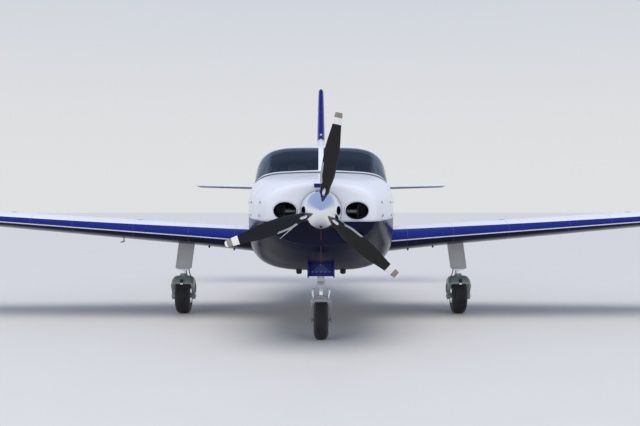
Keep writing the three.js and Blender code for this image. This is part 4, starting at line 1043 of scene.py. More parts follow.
# Cabin
WALL, PANE_OUTSIDE, PANE_INSIDE, PANE_GAP = 42, 4, 16, 0.3
COCKPIT_ROUND, WINDOW_ROUND = 60, 90
SEAL_BEAD, FRAME_BEAD = (3.4, 3.6), (2.6, 5.2)  # depth under the skin, radius
COCKPIT_WINDOW = [(2790, 1600), (3280, 1585), (3300, 1950), (2910, 2010)]
SIDE_WINDOWS = {  # station from, to, bottom z, top z, sides
    "cabin_window_1": (3480, 3880, 1590, 1945, (1, -1)),
    "cabin_window_2": (4080, 4460, 1590, 1945, (1, -1)),
    "cabin_window_3": (4830, 5180, 1590, 1935, (-1,)),
}
DOOR = {"from": 4680, "to": 5320, "low": 952, "split": 1452, "high": 1990, "round": 70, "gap": 7}
DOOR_WINDOW = (4830, 5180, 1590, 1900)
SILL_HALF = 752
SILL_HEIGHTS = [  # x, z of the windshield's lower edge
    (0, 1781), (30, 1781), (120, 1778), (300, 1764), (420, 1750), (540, 1717), (660, 1681), (740, 1657),
    (778, 1645),
]


def grown(corners, by):
    """Outline corners moved away from, or with a negative number towards, their middle."""
    middle = sum((Vector(c) for c in corners), Vector((0, 0))) / len(corners)
    return [Vector(c) + (Vector(c) - middle).normalized() * by for c in corners]


def windshield_tool(inset=0.0):
    """Room of the port windshield pane: its front outline kept inside its side outline."""
    front = [(30 + inset, 1782 + inset), (420, 1752 + inset), (800 - inset, 1640 + inset),
             (800 - inset, 1960 - inset), (470, 2110 - inset), (30 + inset, 2122 - inset)]
    side = [(2180, 1500), (2700 - inset, 1600), (2830 - inset, 2160), (2180, 2160)]
    front, side = along_y(bent_corners(front, 40, 8), 2150, 3000), along_x(bent_corners(side, 20), 0, 900)
    return carved(front, side, how="INTERSECT")


def cockpit_tool(inset=0.0):
    return along_x(bent_corners(grown(COCKPIT_WINDOW, -1.5 * inset), COCKPIT_ROUND, 8), 400, 900)


def corners_of(start, end, low, high, inset=0.0):
    """Corners of an upright rectangle, drawn in by the inset."""
    return [(start + inset, low + inset), (end - inset, low + inset), (end - inset, high - inset),
            (start + inset, high - inset)]


def window_tool(row, side, inset=0.0):
    outline = bent_corners(corners_of(*row[:4], inset), WINDOW_ROUND, 8)
    return along_x(outline, 400, 900) if side > 0 else along_x(outline, -900, -400)


def door_tool(inset, low, high):
    outline = bent_corners(corners_of(DOOR["from"], DOOR["to"], low, high, inset), DOOR["round"], 8)
    return along_x(outline, 300, 900)


def make_cabin():
    whole = shell(FIREWALL + 1.2, BULKHEAD - 0.8, WALL, 35)
    tools = [both_sides(windshield_tool()), both_sides(cockpit_tool()),
             door_tool(-DOOR["gap"], DOOR["low"], DOOR["high"])]
    tools += [window_tool(row, side) for row in SIDE_WINDOWS.values() for side in row[4]]
    whole = carved(whole, *tools)
    smooth_skin(piece("cabin_skin", whole, BODY_PAINT, "cabin_shell"))


def pane(low, high, tool):
    """Pane cut from a thin band of the fuselage between two stations."""
    return carved(shell(low, high, PANE_INSIDE, 30, PANE_OUTSIDE), tool, how="INTERSECT")


def make_windows():
    pair("windshield_pane", pane(2120, 3000, windshield_tool(PANE_GAP)), WINDSHIELD_GLASS, "windshield")
    pair("cockpit_pane", pane(2700, 3400, cockpit_tool(PANE_GAP)), CABIN_GLASS, "cockpit_window")
    for node, row in SIDE_WINDOWS.items():
        for side in row[4]:
            name = "port" if side > 0 else "starboard"
            shape = pane(row[0] - 60, row[1] + 60, window_tool(row, side, PANE_GAP))
            piece(f"{node}_pane_{name}", shape, CABIN_GLASS, f"{node}_{name}")
    shape = pane(DOOR_WINDOW[0] - 60, DOOR_WINDOW[1] + 60, window_tool(DOOR_WINDOW, 1, PANE_GAP))
    piece("door_pane", shape, CABIN_GLASS, "door_window", body="upper_door")


def even(points, pitch):
    """Closed outline with a point every pitch or so."""
    out, closest = [], 0.5
    for a, b in zip(points, points[1:] + points[:1]):
        count = max(int((b - a).length / pitch), 1)
        out += [a.lerp(b, i / count) for i in range(count)]
    return [p for i, p in enumerate(out) if (p - out[i - 1]).length > closest]


def rim(corners, bend, side, deep, radius):
    """Round bead along a window's outline, its middle a little under the skin."""
    outline = even(bent_corners(corners, bend, 8), 26)
    path = [spot(side * skin_x(station, z, deep), station, z) for station, z in outline]
    return tube(path, radius * MM, 8, closed=True)


def make_window_trim():
    """Painted frames and black seals round the side windows, and the door window's seal."""
    seals, frames = [], []
    outlines = [(1, COCKPIT_WINDOW, COCKPIT_ROUND), (-1, COCKPIT_WINDOW, COCKPIT_ROUND)]
    for row in SIDE_WINDOWS.values():
        outlines += [(side, corners_of(*row[:4]), WINDOW_ROUND) for side in row[4]]
    for side, corners, bend in outlines:
        seals.append(rim(corners, bend, side, *SEAL_BEAD))
        frames.append(rim(grown(corners, 17), bend + 8, side, *FRAME_BEAD))
    piece("window_seals", joined(*seals), SEAL, sharp=80)
    piece("window_frames", joined(*frames), WHITE_PAINT, sharp=80)
    bead = rim(corners_of(*DOOR_WINDOW), WINDOW_ROUND, 1, *SEAL_BEAD)
    piece("door_window_seal", bead, SEAL, sharp=80, body="upper_door")


def deck_station(x, z):
    """Station where the windshield's slope stands at a height over a place across the aircraft."""
    low, high = 2200, 3140
    for _ in range(26):
        middle = (low + high) / 2
        low, high = (middle, high) if skin_z(middle, x) < z else (low, middle)
    return (low + high) / 2


def sill_points(ahead):
    """Points of the skin a little ahead of the windshield's lower edge, from side to side."""
    height = curve_through(*zip(*SILL_HEIGHTS))
    points = []
    for x in spread(-SILL_HALF, SILL_HALF, 89):
        station = deck_station(abs(x), height(abs(x))) - ahead
        points.append((x, station, skin_z(station, x)))
    return points


def make_windshield_sill():
    """Raised white strip that holds the windshield's lower edge, and a grey strip under it that is painted
    shade: shadow and the dark glass's reflection on the deck below the raised strip.
    """
    # The grey second strip is painted shade under the white one.
    for name, ahead, width, high, finish in (
            ("windshield_sill_strip", 26, 0.056, 0.022, WHITE_PAINT),
            ("windshield_sill_painted_shade", 72, 0.070, 0.0145, SILL_SHADE_GREY)):
        places = sill_points(ahead)
        bead = strip([spot(*p) for p in places], [skin_normal(*p) for p in places], width, high, fade=6)
        piece(name, bead, finish, sharp=50)


# Cabin doors
KNUCKLE = {"radius": 8, "length": 46, "offsets": (-240, 140), "leaf": 15, "clear": 2, "beside": 0.3}


def knuckle_parts(z, way):
    """Hinge of a door at a height: tubes and leaves on frame and door, and their room in the door."""
    middle = (DOOR["from"] + DOOR["to"]) / 2
    x, long, clear = skin_x(middle, z) + 5, KNUCKLE["length"], KNUCKLE["clear"]

    def tube_at(start, length, radius):
        return rod((x, start, z), (x, start + length, z), radius, 20)

    def part(start, way):
        reach = z + way * KNUCKLE["leaf"]
        leaf = block((x - 16, start, min(z, reach)), (x - 1, start + long, max(z, reach)), 0.0008, 1)
        return joined(tube_at(start, long, KNUCKLE["radius"]), leaf)
    starts = [middle + offset for offset in KNUCKLE["offsets"]]
    fixed = [part(start, way) for start in starts]
    moving = [part(start + long + KNUCKLE["beside"], -way) for start in starts]
    room = [tube_at(start - clear, long + 2 * clear, KNUCKLE["radius"] + clear) for start in starts]
    return joined(*fixed), joined(*moving), joined(*room)


def make_doors():
    """Upper door that lifts and lower door that drops, cut from the cabin wall, with their hinges."""
    wall = shell(DOOR["from"] - 40, DOOR["to"] + 40, WALL, 30)
    specs = (("upper", DOOR["split"] + DOOR["gap"] + 1, DOOR["high"], DOOR["high"] + DOOR["gap"] / 2, 1),
             ("lower", DOOR["low"], DOOR["split"], DOOR["low"] - DOOR["gap"] / 2, -1))
    leaves = []
    for name, low, high, hinge, way in specs:
        fixed, moving, room = knuckle_parts(hinge, way)
        panel = carved(wall.copy(), door_tool(0, low, high), how="INTERSECT")
        tools = [window_tool(DOOR_WINDOW, 1), room] if name == "upper" else [room]
        panel = carved(panel, *tools)
        body = name + "_door"
        smooth_skin(piece(body + "_panel", panel, BODY_PAINT, name + "_cabin_door", body=body))
        piece(body + "_hinge_leaves", moving, STEEL, body=body)
        leaves.append(fixed)
    piece("door_frame_hinge_leaves", joined(*leaves), STEEL)


# Wing
WING_ROOT_U, WING_ROOT_Z, CAMBER = 600, 952, 0.12
WING = [  # span place, leading edge station, chord, thickness
    (600, 2620, 1900, 325), (1000, 2720, 1740, 302), (1500, 2790, 1590, 274),
    (5900, 2980, 900, 138), (6120, 3020, 830, 106), (6230, 3120, 640, 38),
]
FLAP = {"from": 1080, "to": 3560, "hinge": 0.74, "gap": 12, "arm": 30}
AILERON = {"from": 3590, "to": 5860, "hinge": 0.76, "gap": 9, "arm": 26}
UP = Vector((-math.sin(DIHEDRAL), 0, math.cos(DIHEDRAL)))


def row_between(rows, u):
    """Straight-line row of a table at a span place."""
    after = max(next((i for i, row in enumerate(rows) if row[0] >= u), len(rows) - 1), 1)
    a, b = rows[after - 1], rows[after]
    t = (u - a[0]) / (b[0] - a[0])
    return [p + (q - p) * t for p, q in zip(a, b)]


def half_thickness(x):
    """Half thickness of the usual symmetric section at a share of its chord."""
    return 5 * (0.2969 * math.sqrt(x) - 0.126 * x - 0.3516 * x ** 2 + 0.2843 * x ** 3 - 0.1036 * x ** 4)


def airfoil(chord, thick, camber, steps=30):
    """Points round a wing section, from the leading edge over the top and back below."""
    shares = [0.5 * (1 - math.cos(math.pi * i / steps)) for i in range(steps + 1)]

    def height(x, side):
        return camber * thick * 4 * x * (1 - x) + side * (half_thickness(x) * thick + 2 * x)
    return [(x * chord, height(x, 1)) for x in shares] + [(x * chord, height(x, -1)) for x in shares[:0:-1]]


def tilted(u, station, height, root_z, angle):
    """Place on a plane that rises outwards from the middle of the aircraft."""
    return spot(u * math.cos(angle) - height * math.sin(angle), station,
                root_z + u * math.sin(angle) + height * math.cos(angle))


def wing_point(u, station, height):
    return tilted(u, station, height, WING_ROOT_Z - WING_ROOT_U * math.tan(DIHEDRAL), DIHEDRAL)


def wing_ring(row):
    u, lead, chord, thick = row
    return [wing_point(u, lead + a, h - a * math.tan(WING_INCIDENCE))
            for a, h in airfoil(chord, thick, CAMBER)]


def wing_whole():
    """Wing of one side: straight between its rows, smooth round its tip."""
    places = [600, 700, 800, 900, 1000, 1060, 1120, 1250, 1400, 1500, 1600] + spread(2000, 5800, 9) + [5900]
    tip = [5960, 6020, 6070, 6110, 6145, 6175, 6200, 6218, 6227, 6230]
    curves = table_curves(WING[3:], ("lead", "chord", "thick"))
    rows = [row_between(WING, u) for u in places]
    rows += [(u, *(curve(u) for curve in curves.values())) for u in tip]
    return lofted([wing_ring(row) for row in rows])


def hinge_on_wing(u, share):
    """Hinge place at a share of the chord, and the half thickness of the wing there."""
    _, lead, chord, thick = row_between(WING, u)
    along = chord * share
    middle = CAMBER * thick * 4 * share * (1 - share) - along * math.tan(WING_INCIDENCE)
    return wing_point(u, lead + along, middle), half_thickness(share) * thick


def control_space(ends, up, margin):
    """Room of a control surface: a round nose about its hinge line, open rearwards."""
    reach, fit = 1.2, (1 if margin > 0 else 0.97)
    rings = []
    for centre, radius in ends:
        r = (radius + margin) * MM
        ring = [centre + up * r * fit * math.sin(a) + Vector((0, r * fit * math.cos(a), 0))
                for a in spread(math.pi / 2, 1.5 * math.pi, 20)]
        ring += [centre + up * side * reach / 4 + Vector((0, back, 0))
                 for side, back in ((-1, r), (-1, reach), (1, reach), (1, r))]
        rings.append(ring)
    return lofted(rings)


def control_ends(rows, beyond=0):
    return [hinge_on_wing(u, rows["hinge"]) for u in (rows["from"] - beyond, rows["to"] + beyond)]


def hinge_fittings(ends, shares, arm):
    """Arm and pin on the fixed part, and the slot and bore that they need in the surface."""
    arm_radius, pin_radius, bore_radius, pin_half, bore_half = 0.0068, 0.0049, 0.006, 0.024, 0.025
    start, end = ends[0][0], ends[1][0]
    way = (end - start).normalized()
    fixed, room = [], []
    for share in shares:
        centre = start.lerp(end, share)
        radius = ends[0][1] + (ends[1][1] - ends[0][1]) * share
        fixed.append(tube([centre, centre - Vector((0, (radius + arm) * MM, 0))], arm_radius, 14))
        fixed.append(tube([centre - way * pin_half, centre + way * pin_half], pin_radius, 14))
        low, high = Vector((-14, -radius * 1.5, -radius * 2)), Vector((14, radius * 0.4, radius * 2))
        slot = box(low * MM, high * MM)
        spin = Vector((1, 0, 0)).rotation_difference(way).to_matrix()
        bmesh.ops.rotate(slot, cent=(0, 0, 0), matrix=spin, verts=slot.verts)
        bmesh.ops.translate(slot, vec=centre, verts=slot.verts)
        room += [slot, tube([centre - way * bore_half, centre + way * bore_half], bore_radius, 14)]
    return joined(*fixed), room


MAIN_X, MAIN_STATION = 1772, 3450
WHEEL_WELL = {"x": 1120, "radius": 250, "top": 1050, "trough": 62, "trough_top": 1030, "low": 600}
LEG_TOP, LEG_LOW = spot(MAIN_X - 75, MAIN_STATION, 1080), spot(MAIN_X - 4, MAIN_STATION, 556)


def well_tools():
    """Room of the retracted main wheel, of its leg and of the leg's root in the wing."""
    x, low, half = WHEEL_WELL["x"], WHEEL_WELL["low"], WHEEL_WELL["trough"]
    well = rod((x, MAIN_STATION, low), (x, MAIN_STATION, WHEEL_WELL["top"]), WHEEL_WELL["radius"], 72)
    trough = block((x, MAIN_STATION - half, low),
                   (MAIN_X - 75, MAIN_STATION + half, WHEEL_WELL["trough_top"]))
    way = (LEG_TOP - LEG_LOW).normalized()
    pocket = tube([LEG_TOP + way * 0.0003, LEG_LOW.lerp(LEG_TOP, 0.2)], 0.066, 32)
    return well, trough, pocket


def make_wings():
    """Wings with their wheel wells, and the flaps and ailerons on their hinge arms."""
    whole = wing_whole()
    rooms, arms = [], []
    for name, rows in (("flap", FLAP), ("aileron", AILERON)):
        surface = carved(whole.copy(), control_space(control_ends(rows), UP, 0), how="INTERSECT")
        fixed, room = hinge_fittings(control_ends(rows), (0.12, 0.88), rows["arm"])
        pair(name + "_skin", carved(surface, *room), CONTROL_PAINT, name, name, sharp=24)
        rooms.append(control_space(control_ends(rows, rows["gap"]), UP, rows["gap"]))
        arms.append(fixed)
    wing = carved(whole, *rooms, *well_tools(), solid_body(2200, 5600, -0.3, 60))
    pair("wing_skin", wing, WING_PAINT, "wing", sharp=24)
    pair("wing_hinge_arms", joined(*arms), STEEL)


# Cabin fittings
SEAT_X, SEAT_LEAN = 300, math.atan2(190, 640)
SEAT_ROWS = (("crew", 3000, 1), ("club", 3900, -1), ("rear", 4860, 1))  # name, station, way it faces
SEAT_NODES = {"crew": "crew_seats", "rear": "passenger_seats"}
CUSHION, BACK, HEADREST = (226, 236, 64), (220, 228, 50), (128, 62, 44)
PADS = (  # name, half sizes, place behind the seat's middle, height, lean, standing, cuts
    ("cushion", CUSHION, 8, 1205, 0.0, False, 27), ("back", BACK, -255, 1512, SEAT_LEAN, True, 27),
    ("headrest", HEADREST, -350, 1842, SEAT_LEAN, True, 15),
)
FLUTES, FLUTE_WIDTH, GROOVE, SIDE_PULL, PAD_FILL = (-126, -42, 42, 126), 6.5, 5.0, 0.018, 0.85
FLOOR_Z, ROUNDNESS, BELT_PLACE = 930, 5.0, -0.46
SEAT_SHELL = [(-236, 1190), (-250, 1240), (-430, 1870), (-440, 1900), (-424, 1900), (-400, 1800),
              (-222, 1190)]
SEAT_BASE = [(188, 958), (-188, 958), (-196, 1128), (-236, 1140), (214, 1140), (196, 1120)]


def pad_surface(half, way, flutes=()):
    """Point of a crowned pad in millimetres: sides drawn in between the corners, sewn flutes on top."""
    u, v, w = way
    size = (abs(u) ** ROUNDNESS + abs(v) ** ROUNDNESS + abs(w) ** ROUNDNESS) ** (1 / ROUNDNESS)
    u, v, w = u / size, v / size, w / size
    x = u * half[0] * (1 - SIDE_PULL * (1 - v * v))
    y = v * half[1] * (1 - SIDE_PULL * (1 - u * u))
    z = w * half[2] * (0.86 + 0.14 * (1 - u * u) * (1 - v * v))
    if w > 0.2:
        share = min((w - 0.2) / 0.4, 1.0)
        z -= share * GROOVE * sum(math.exp(-((x - flute) / FLUTE_WIDTH) ** 2) for flute in flutes)
        z -= share * GROOVE * math.exp(-((abs(v) - 0.80) * half[1] / 7.0) ** 2)
    return Vector((x, y, z))


def pad(half, flutes, cuts):
    """Cube cut into a grid, its points moved onto the pad's surface."""
    bm = bmesh.new()
    bmesh.ops.create_cube(bm, size=2.0)
    bmesh.ops.subdivide_edges(bm, edges=bm.edges, cuts=cuts, use_grid_fill=True)
    for vert in bm.verts:
        vert.co = pad_surface(half, vert.co, flutes) * MM
    return bm


def pad_piping(half):
    """Cord sewn round the pad's upper edge."""
    level, radius = 0.60, 3.6
    path = []
    for a in turn_angles(96):
        c, s = math.cos(a), math.sin(a)
        size = ((1 - level ** ROUNDNESS) / (abs(c) ** ROUNDNESS + abs(s) ** ROUNDNESS)) ** (1 / ROUNDNESS)
        path.append(pad_surface(half, (size * c, size * s, level)) * MM)
    return tube(path, radius * MM, 8, closed=True)


def seat_place(bm, x, station, ahead, forward, z, lean, upright):
    """Puts a pad in its seat: lying flat, or standing up and leaning back."""
    if upright:
        turned(bm, math.radians(90) - lean, (1, 0, 0), (0, 0, 0))
    if ahead < 0:
        turned(bm, math.pi, (0, 0, 1), (0, 0, 0))
    bmesh.ops.translate(bm, vec=spot(x, station - ahead * forward, z), verts=bm.verts)
    return bm


def make_seat(name, x, station, ahead, parts):
    """Three pads with piping on a moulded shell and base, headrest posts, rails and a lap belt."""
    for part, half, forward, z, lean, upright, cuts in PADS:
        place = (x, station, ahead, forward, z, lean, upright)
        shape = seat_place(pad(half, FLUTES if part != "headrest" else (), cuts), *place)
        piece(f"{name}_seat_{part}", shape, LEATHER, sharp=70)
        parts["piping"].append(seat_place(pad_piping(half), *place))

    def at(forward):
        return station - ahead * forward
    for outline, half in ((SEAT_SHELL, 205), (SEAT_BASE, 196)):
        outline = [Vector((at(forward), z)) for forward, z in outline]
        parts["shells"].append(rounded(along_x(outline, x - half, x + half), 0.006, 2))
    rear, front = sorted((at(-170), at(170)))
    for way in (-1, 1):
        post, rail = x + way * 62, x + way * 170
        parts["steelwork"].append(rod((post, at(-322), 1730), (post, at(-352), 1830), 5.5, 14))
        parts["steelwork"].append(block((rail - 14, rear, 931), (rail + 14, front, 962), 0.003))
    path, ways = [], []
    for u in spread(-0.99, 0.99, 25):
        top = max(1 - abs(u) ** ROUNDNESS - abs(BELT_PLACE) ** ROUNDNESS, 0.0) ** (1 / ROUNDNESS)
        point = pad_surface(CUSHION, (u, BELT_PLACE, max(top, 0.05)))
        path.append(spot(x + point.x, at(8 + point.y), 1205 + point.z + 1.5))
        ways.append(Vector((u ** 5 * 0.8, 0, 1)).normalized())
    parts["belts"].append(strip(path, ways, 0.046, 0.0018, 0.0006))
    low, high = Vector((-0.034, -0.026, 0.001)), Vector((0.030, 0.026, 0.014))
    parts["buckles"].append(box(path[12] + low, path[12] + high, 0.004, 3))


def make_seats():
    """Three rows of two seats, each row's hard parts and piping joined by their finish."""
    for row, station, ahead in SEAT_ROWS:
        parts = {"piping": [], "shells": [], "steelwork": [], "belts": [], "buckles": []}
        for side, name in ((1, "port"), (-1, "starboard")):
            make_seat(f"{row}_{name}", side * SEAT_X, station, ahead, parts)
        parts["shells"].append(block((-SEAT_X, station - 60, 930.3), (SEAT_X, station + 60, 960), 0.004))
        if row == "rear":
            for x in (-SEAT_X, SEAT_X):
                parts["steelwork"].append(block((x - 20, 3920, 930.3), (x + 20, 4840, 954), 0.002))
        piece(row + "_seat_shells", joined(*parts["shells"]), PLASTIC, SEAT_NODES.get(row), sharp=40)
        piece(row + "_seat_piping", joined(*parts["piping"]), PIPING, sharp=80)
        piece(row + "_seat_steelwork", joined(*parts["steelwork"]), STEEL, sharp=40)
        piece(row + "_seat_belts", joined(*parts["belts"]), WEBBING, sharp=60)
        piece(row + "_belt_buckles", joined(*parts["buckles"]), STEEL, sharp=40)


# Instrument panel: stations in millimetres, dials as x, z and radius, screens as x, z and half sizes
BOARD = (2432, 2470)
COVER = [(2290, 1552), (2290, 1588), (2330, 1598), (2480, 1602), (2560, 1600), (2578, 1588), (2578, 1572),
         (2540, 1566), (2500, 1552), (2440, 1550)]
DIALS = ([(x, z, 38) for x in (180, 278, 382, 480) for z in (1492, 1300)]
         + [(x, z, 34) for z in (1492, 1410) for x in (-560, -640)])
SCREENS = ((-330, 1430, 130, 95), (0, 1478, 100, 36), (0, 1398, 100, 32), (0, 1328, 100, 26),
           (0, 1268, 100, 22))
YOKE_HORN = [(-116, 1488), (-117, 1450), (-108, 1412), (-66, 1394), (0, 1390), (66, 1394), (108, 1412),
             (117, 1450), (116, 1488)]


def add_dial(x, z, radius, parts):
    """Bezel, face, nine marks and a needle of one round instrument."""
    centre, above = spot(x, BOARD[1], z), Vector((0, 0.0018, 0))
    parts["bezels"].append(lathe([(0, radius), (4, radius), (5.5, radius - 1.5), (5.5, radius - 4),
                                  (1.5, radius - 6), (0, radius - 6), (0, radius)], centre, AFT, 40))
    face = [(0, 0), (1.4, 0), (1.4, radius - 5.6), (0, radius - 5.6), (0, 0)]
    parts["faces"].append(lathe(face, centre, AFT, 40))
    for a in spread(-2.3, 2.3, 9):
        way = Vector((math.sin(a), 0, math.cos(a))) * MM
        ends = [centre + way * (radius - 14) + above, centre + way * (radius - 8) + above]
        parts["marks"].append(tube(ends, 0.0009, 6))
    way, above = Vector((math.sin(x * 0.11), 0, math.cos(x * 0.11))), Vector((0, 0.0026, 0))
    ends = [centre - way * 0.006 + above, centre + way * (radius - 12) * MM + above]
    parts["marks"].append(tube(ends, [0.0014, 0.0005], 8))


def make_panel():
    """Instrument panel with its cover, dials, screens and the two control yokes."""
    room = solid_body(2230, 2700, WALL + 2)
    board = carved(block((-780, BOARD[0], 1185), (780, BOARD[1], 1548), 0.004), room.copy(), how="INTERSECT")
    cover = carved(along_x([Vector(p) for p in COVER], -780, 780), room, how="INTERSECT")
    piece("instrument_board", board, PANEL_GREY, "instrument_panel", sharp=35)
    piece("glareshield_cover", cover, PLASTIC, sharp=40)
    parts = {"bezels": [], "faces": [], "marks": [], "knobs": [], "yokes": []}
    for dial in DIALS:
        add_dial(*dial, parts)
    for x, z, wide, tall in SCREENS:
        parts["bezels"].append(block((x - wide, 2469, z - tall), (x + wide, 2476, z + tall), 0.003, 3))
        low, high = (x - wide + 22, 2475, z - tall + 10), (x + wide - 22, 2477, z + tall - 10)
        parts["faces"].append(block(low, high, 0.0006, 1))
        for way in (-1, 1):
            centre = spot(x + way * (wide - 11), 2476, z)
            parts["knobs"].append(lathe([(0, 0), (0, 7), (12, 6.4), (14, 5), (14, 0)], centre, AFT, 24))
    for x in (-70, -24, 24, 70):
        parts["knobs"].append(rod((x, 2470, 1215), (x, 2530, 1215), 4))
        knob = [(0, 0), (0, 10), (6, 13), (14, 12), (18, 6), (18, 0)]
        parts["knobs"].append(lathe(knob, spot(x, 2528, 1215), AFT, 24))
    for x in (330, -330):
        horn = soft_path([spot(x + a, 2692, z) for a, z in YOKE_HORN], 5)
        collar = [(0, 0), (0, 26), (5, 26), (9, 18), (9, 0)]
        parts["yokes"] += [tube(horn, 0.0115, 16), rod((x, 2471, 1395), (x, 2690, 1395), 12.5, 24),
                           block((x - 34, 2682, 1376), (x + 34, 2704, 1412), 0.007, 3),
                           lathe(collar, spot(x, 2470, 1395), AFT, 32)]
    piece("panel_bezels", joined(*parts["bezels"]), PLASTIC, sharp=40)
    piece("panel_faces", joined(*parts["faces"]), SCREEN, sharp=40)
    piece("dial_marks", joined(*parts["marks"]), DIAL_WHITE, sharp=60)
    piece("control_yokes", joined(*parts["yokes"]), PLASTIC, sharp=40)
    piece("panel_knobs", joined(*parts["knobs"]), PIPING, sharp=40, slot="panel_trim")


# Cabin lining
FLANGE, LINING_OUTSIDE, LINING_INSIDE = 6, 43.0, 47.0


def make_lining():
    """Lining of walls and roof with a flanged edge round each window, bulkheads and door trims."""
    tools = [both_sides(windshield_tool(-FLANGE)), both_sides(cockpit_tool(-FLANGE)),
             door_tool(-14, DOOR["low"] - 14, DOOR["high"] + 14),
             block((-900, 1800, 500), (900, 5700, FLOOR_Z + 3))]
    tools += [window_tool(row, side, -FLANGE) for row in SIDE_WINDOWS.values() for side in row[4]]
    band = shell(FIREWALL + 14, BULKHEAD - 16, LINING_INSIDE, 60, LINING_OUTSIDE)
    piece("cabin_lining_panels", carved(band, *tools), TRIM, sharp=40)
    firewall = lofted([section_ring(s, 6) for s in (FIREWALL + 1.5, FIREWALL + 9)])
    piece("firewall_sheet", firewall, ALLOY, sharp=40, slot="engine_metal")
    bulkhead = lofted([section_ring(s, 44) for s in (BULKHEAD - 14, BULKHEAD - 4)])
    piece("rear_bulkhead_panel", bulkhead, TRIM, sharp=40)
    for body, low, high in (("upper_door", DOOR["split"] + DOOR["gap"] + 12, DOOR["high"] - 12),
                            ("lower_door", DOOR["low"] + 12, DOOR["split"] - 12)):
        band = shell(DOOR["from"] - 20, DOOR["to"] + 20, LINING_INSIDE, 60, LINING_OUTSIDE)
        trim = carved(band, door_tool(12, low - 12, high + 12), how="INTERSECT")
        if body == "upper_door":
            trim = carved(trim, window_tool(DOOR_WINDOW, 1, -FLANGE))
        piece(body + "_lining", trim, TRIM, sharp=40, body=body)


CYLINDER_STATIONS, CYLINDER_Z, FIN_COUNT, FIN_PITCH, FIN_THICKNESS = (860, 1060, 1260), 1330, 18, 10.5, 3.2


def make_engine():
    """Flat six-cylinder engine: crankcase, finned cylinders, rocker covers and intake pipes."""
    case = block((-150, 775, 1090), (150, 1800, 1440), 0.03, 3)
    sump = block((-110, 900, 1016), (110, 1700, 1100), 0.02, 3)
    profile = [(0, 0), (0, 40)]
    for i in range(FIN_COUNT):
        a = 10 + i * FIN_PITCH
        profile += [(a, 56), (a, 76), (a + FIN_THICKNESS, 76), (a + FIN_THICKNESS, 56)]
    profile += [(205, 56), (205, 0)]
    cylinders, covers, pipes = [], [], []
    for side in (1, -1):
        inner, outer = sorted((side * 352, side * 378))
        for station in CYLINDER_STATIONS:
            cylinders.append(lathe(profile, spot(side * 148, station, CYLINDER_Z), (side, 0, 0), 40))
            covers.append(block((inner, station - 62, 1262), (outer, station + 62, 1398), 0.010, 3))
            bends = [(250, 60, 1262), (250, 66, 1180), (180, 60, 1100), (100, 40, 1070)]
            path = soft_path([spot(side * x, station + behind, z) for x, behind, z in bends], 4)
            pipes.append(tube(path, 0.019, 16))
    piece("engine_crankcase", joined(case, sump), CAST, "engine", sharp=40)
    piece("engine_cylinders", joined(*cylinders), ALLOY, sharp=40, slot="engine_metal")
    piece("engine_rocker_covers", joined(*covers), CAST, sharp=40)
    piece("engine_intake_pipes", joined(*pipes), STEEL, sharp=40, slot="engine_metal")


# Tail
# The fin by height: leading edge, thickness and trailing edge
FIN_LEAD = ([1740, 1960, 2140, 2300, 3300, 3400, 3450, 3480, 3490],
            [7180, 7420, 7600, 7652.1, 7977.5, 8010, 8036, 8062, 8080])
FIN_THICK = [1740, 1960, 2140, 3400, 3470, 3490], [110, 150, 146, 92, 80, 40]
FIN_TRAIL = [1740, 1960, 2140, 3400, 3490], [8600, 8600, 8598, 8570, 8555]
RUDDER = {"low": (1560, 8352), "high": (3500, 8412), "radii": (44, 24), "gap": 8, "arm": 24}
RUDDER_FOOT = [(1560, 8240, 8560, 84), (1740, 7900, 8600, 110)]
TAILPLANE = [(-6, 7700, 880, 100), (2150, 7905, 590, 66), (2250, 7960, 500, 36)]
TAILPLANE_Z = 1690
ELEVATOR = {"from": 245, "to": 2160, "hinge": 8290, "gap": 8, "arm": 22}
TAIL_UP = Vector((-math.sin(TAIL_DIHEDRAL), 0, math.cos(TAIL_DIHEDRAL)))


def fin_ring(row):
    z, lead, trail, thick = row
    return [spot(side, lead + a, z) for a, side in airfoil(trail - lead, thick, 0, 24)]


def fin_curve_rows():
    """Fin rows with a smooth fillet at the foot and a rounded top."""
    lead, thick, trail = curve_through(*FIN_LEAD), curve_through(*FIN_THICK), curve_through(*FIN_TRAIL)
    places = [1740, 1800, 1860, 1910, 1960, 2020, 2080, 2140, 2220, 2300] + spread(2450, 3300, 6)
    places += [3400, 3430, 3450, 3466, 3478, 3486, 3490]
    return [(z, lead(z), trail(z), thick(z)) for z in places]


def rudder_room(margin):
    """Room of the rudder: a round nose about its hinge line, open rearwards."""
    rings = []
    for end, radius, beyond in zip(("low", "high"), RUDDER["radii"], (-margin, margin)):
        (z, station), r = RUDDER[end], radius + margin
        ring = [spot(r * math.sin(a), station + r * math.cos(a), z + beyond)
                for a in spread(math.pi / 2, 1.5 * math.pi, 20)]
        ring += [spot(side * 150, station + back, z + beyond)
                 for side, back in ((-1, radius), (-1, 1200), (1, 1200), (1, radius))]
        rings.append(ring)
    return lofted(rings)


def tail_half(grow=0.0):
    """Tailplane of one side, or with growth the slot that it needs in the tail cone."""
    def ring(u, lead, chord, thick):
        return [tilted(u, lead - grow / 2 + a, h, TAILPLANE_Z, TAIL_DIHEDRAL)
                for a, h in airfoil(chord + grow, thick + grow * 0.7, 0, 24)]
    rows = [row_between(TAILPLANE, u) for u in (-6, 100, 245, 500, 900, 1300, 1700, 2100)]
    curves = table_curves([row_between(TAILPLANE, 2000)] + TAILPLANE[1:], ("lead", "chord", "thick"))
    rows += [(u, curves["lead"](u), curves["chord"](u), curves["thick"](u) * k) for u, k in (
        (2150, 1.0), (2190, 1.0), (2215, 0.97), (2232, 0.85), (2244, 0.6), (2250, 0.3))]
    return lofted([ring(*row) for row in rows])


def tail_hinge(u):
    _, lead, chord, thick = row_between(TAILPLANE, u)
    radius = half_thickness((ELEVATOR["hinge"] - lead) / chord) * thick + 2
    return tilted(u, ELEVATOR["hinge"], 0, TAILPLANE_Z, TAIL_DIHEDRAL), radius


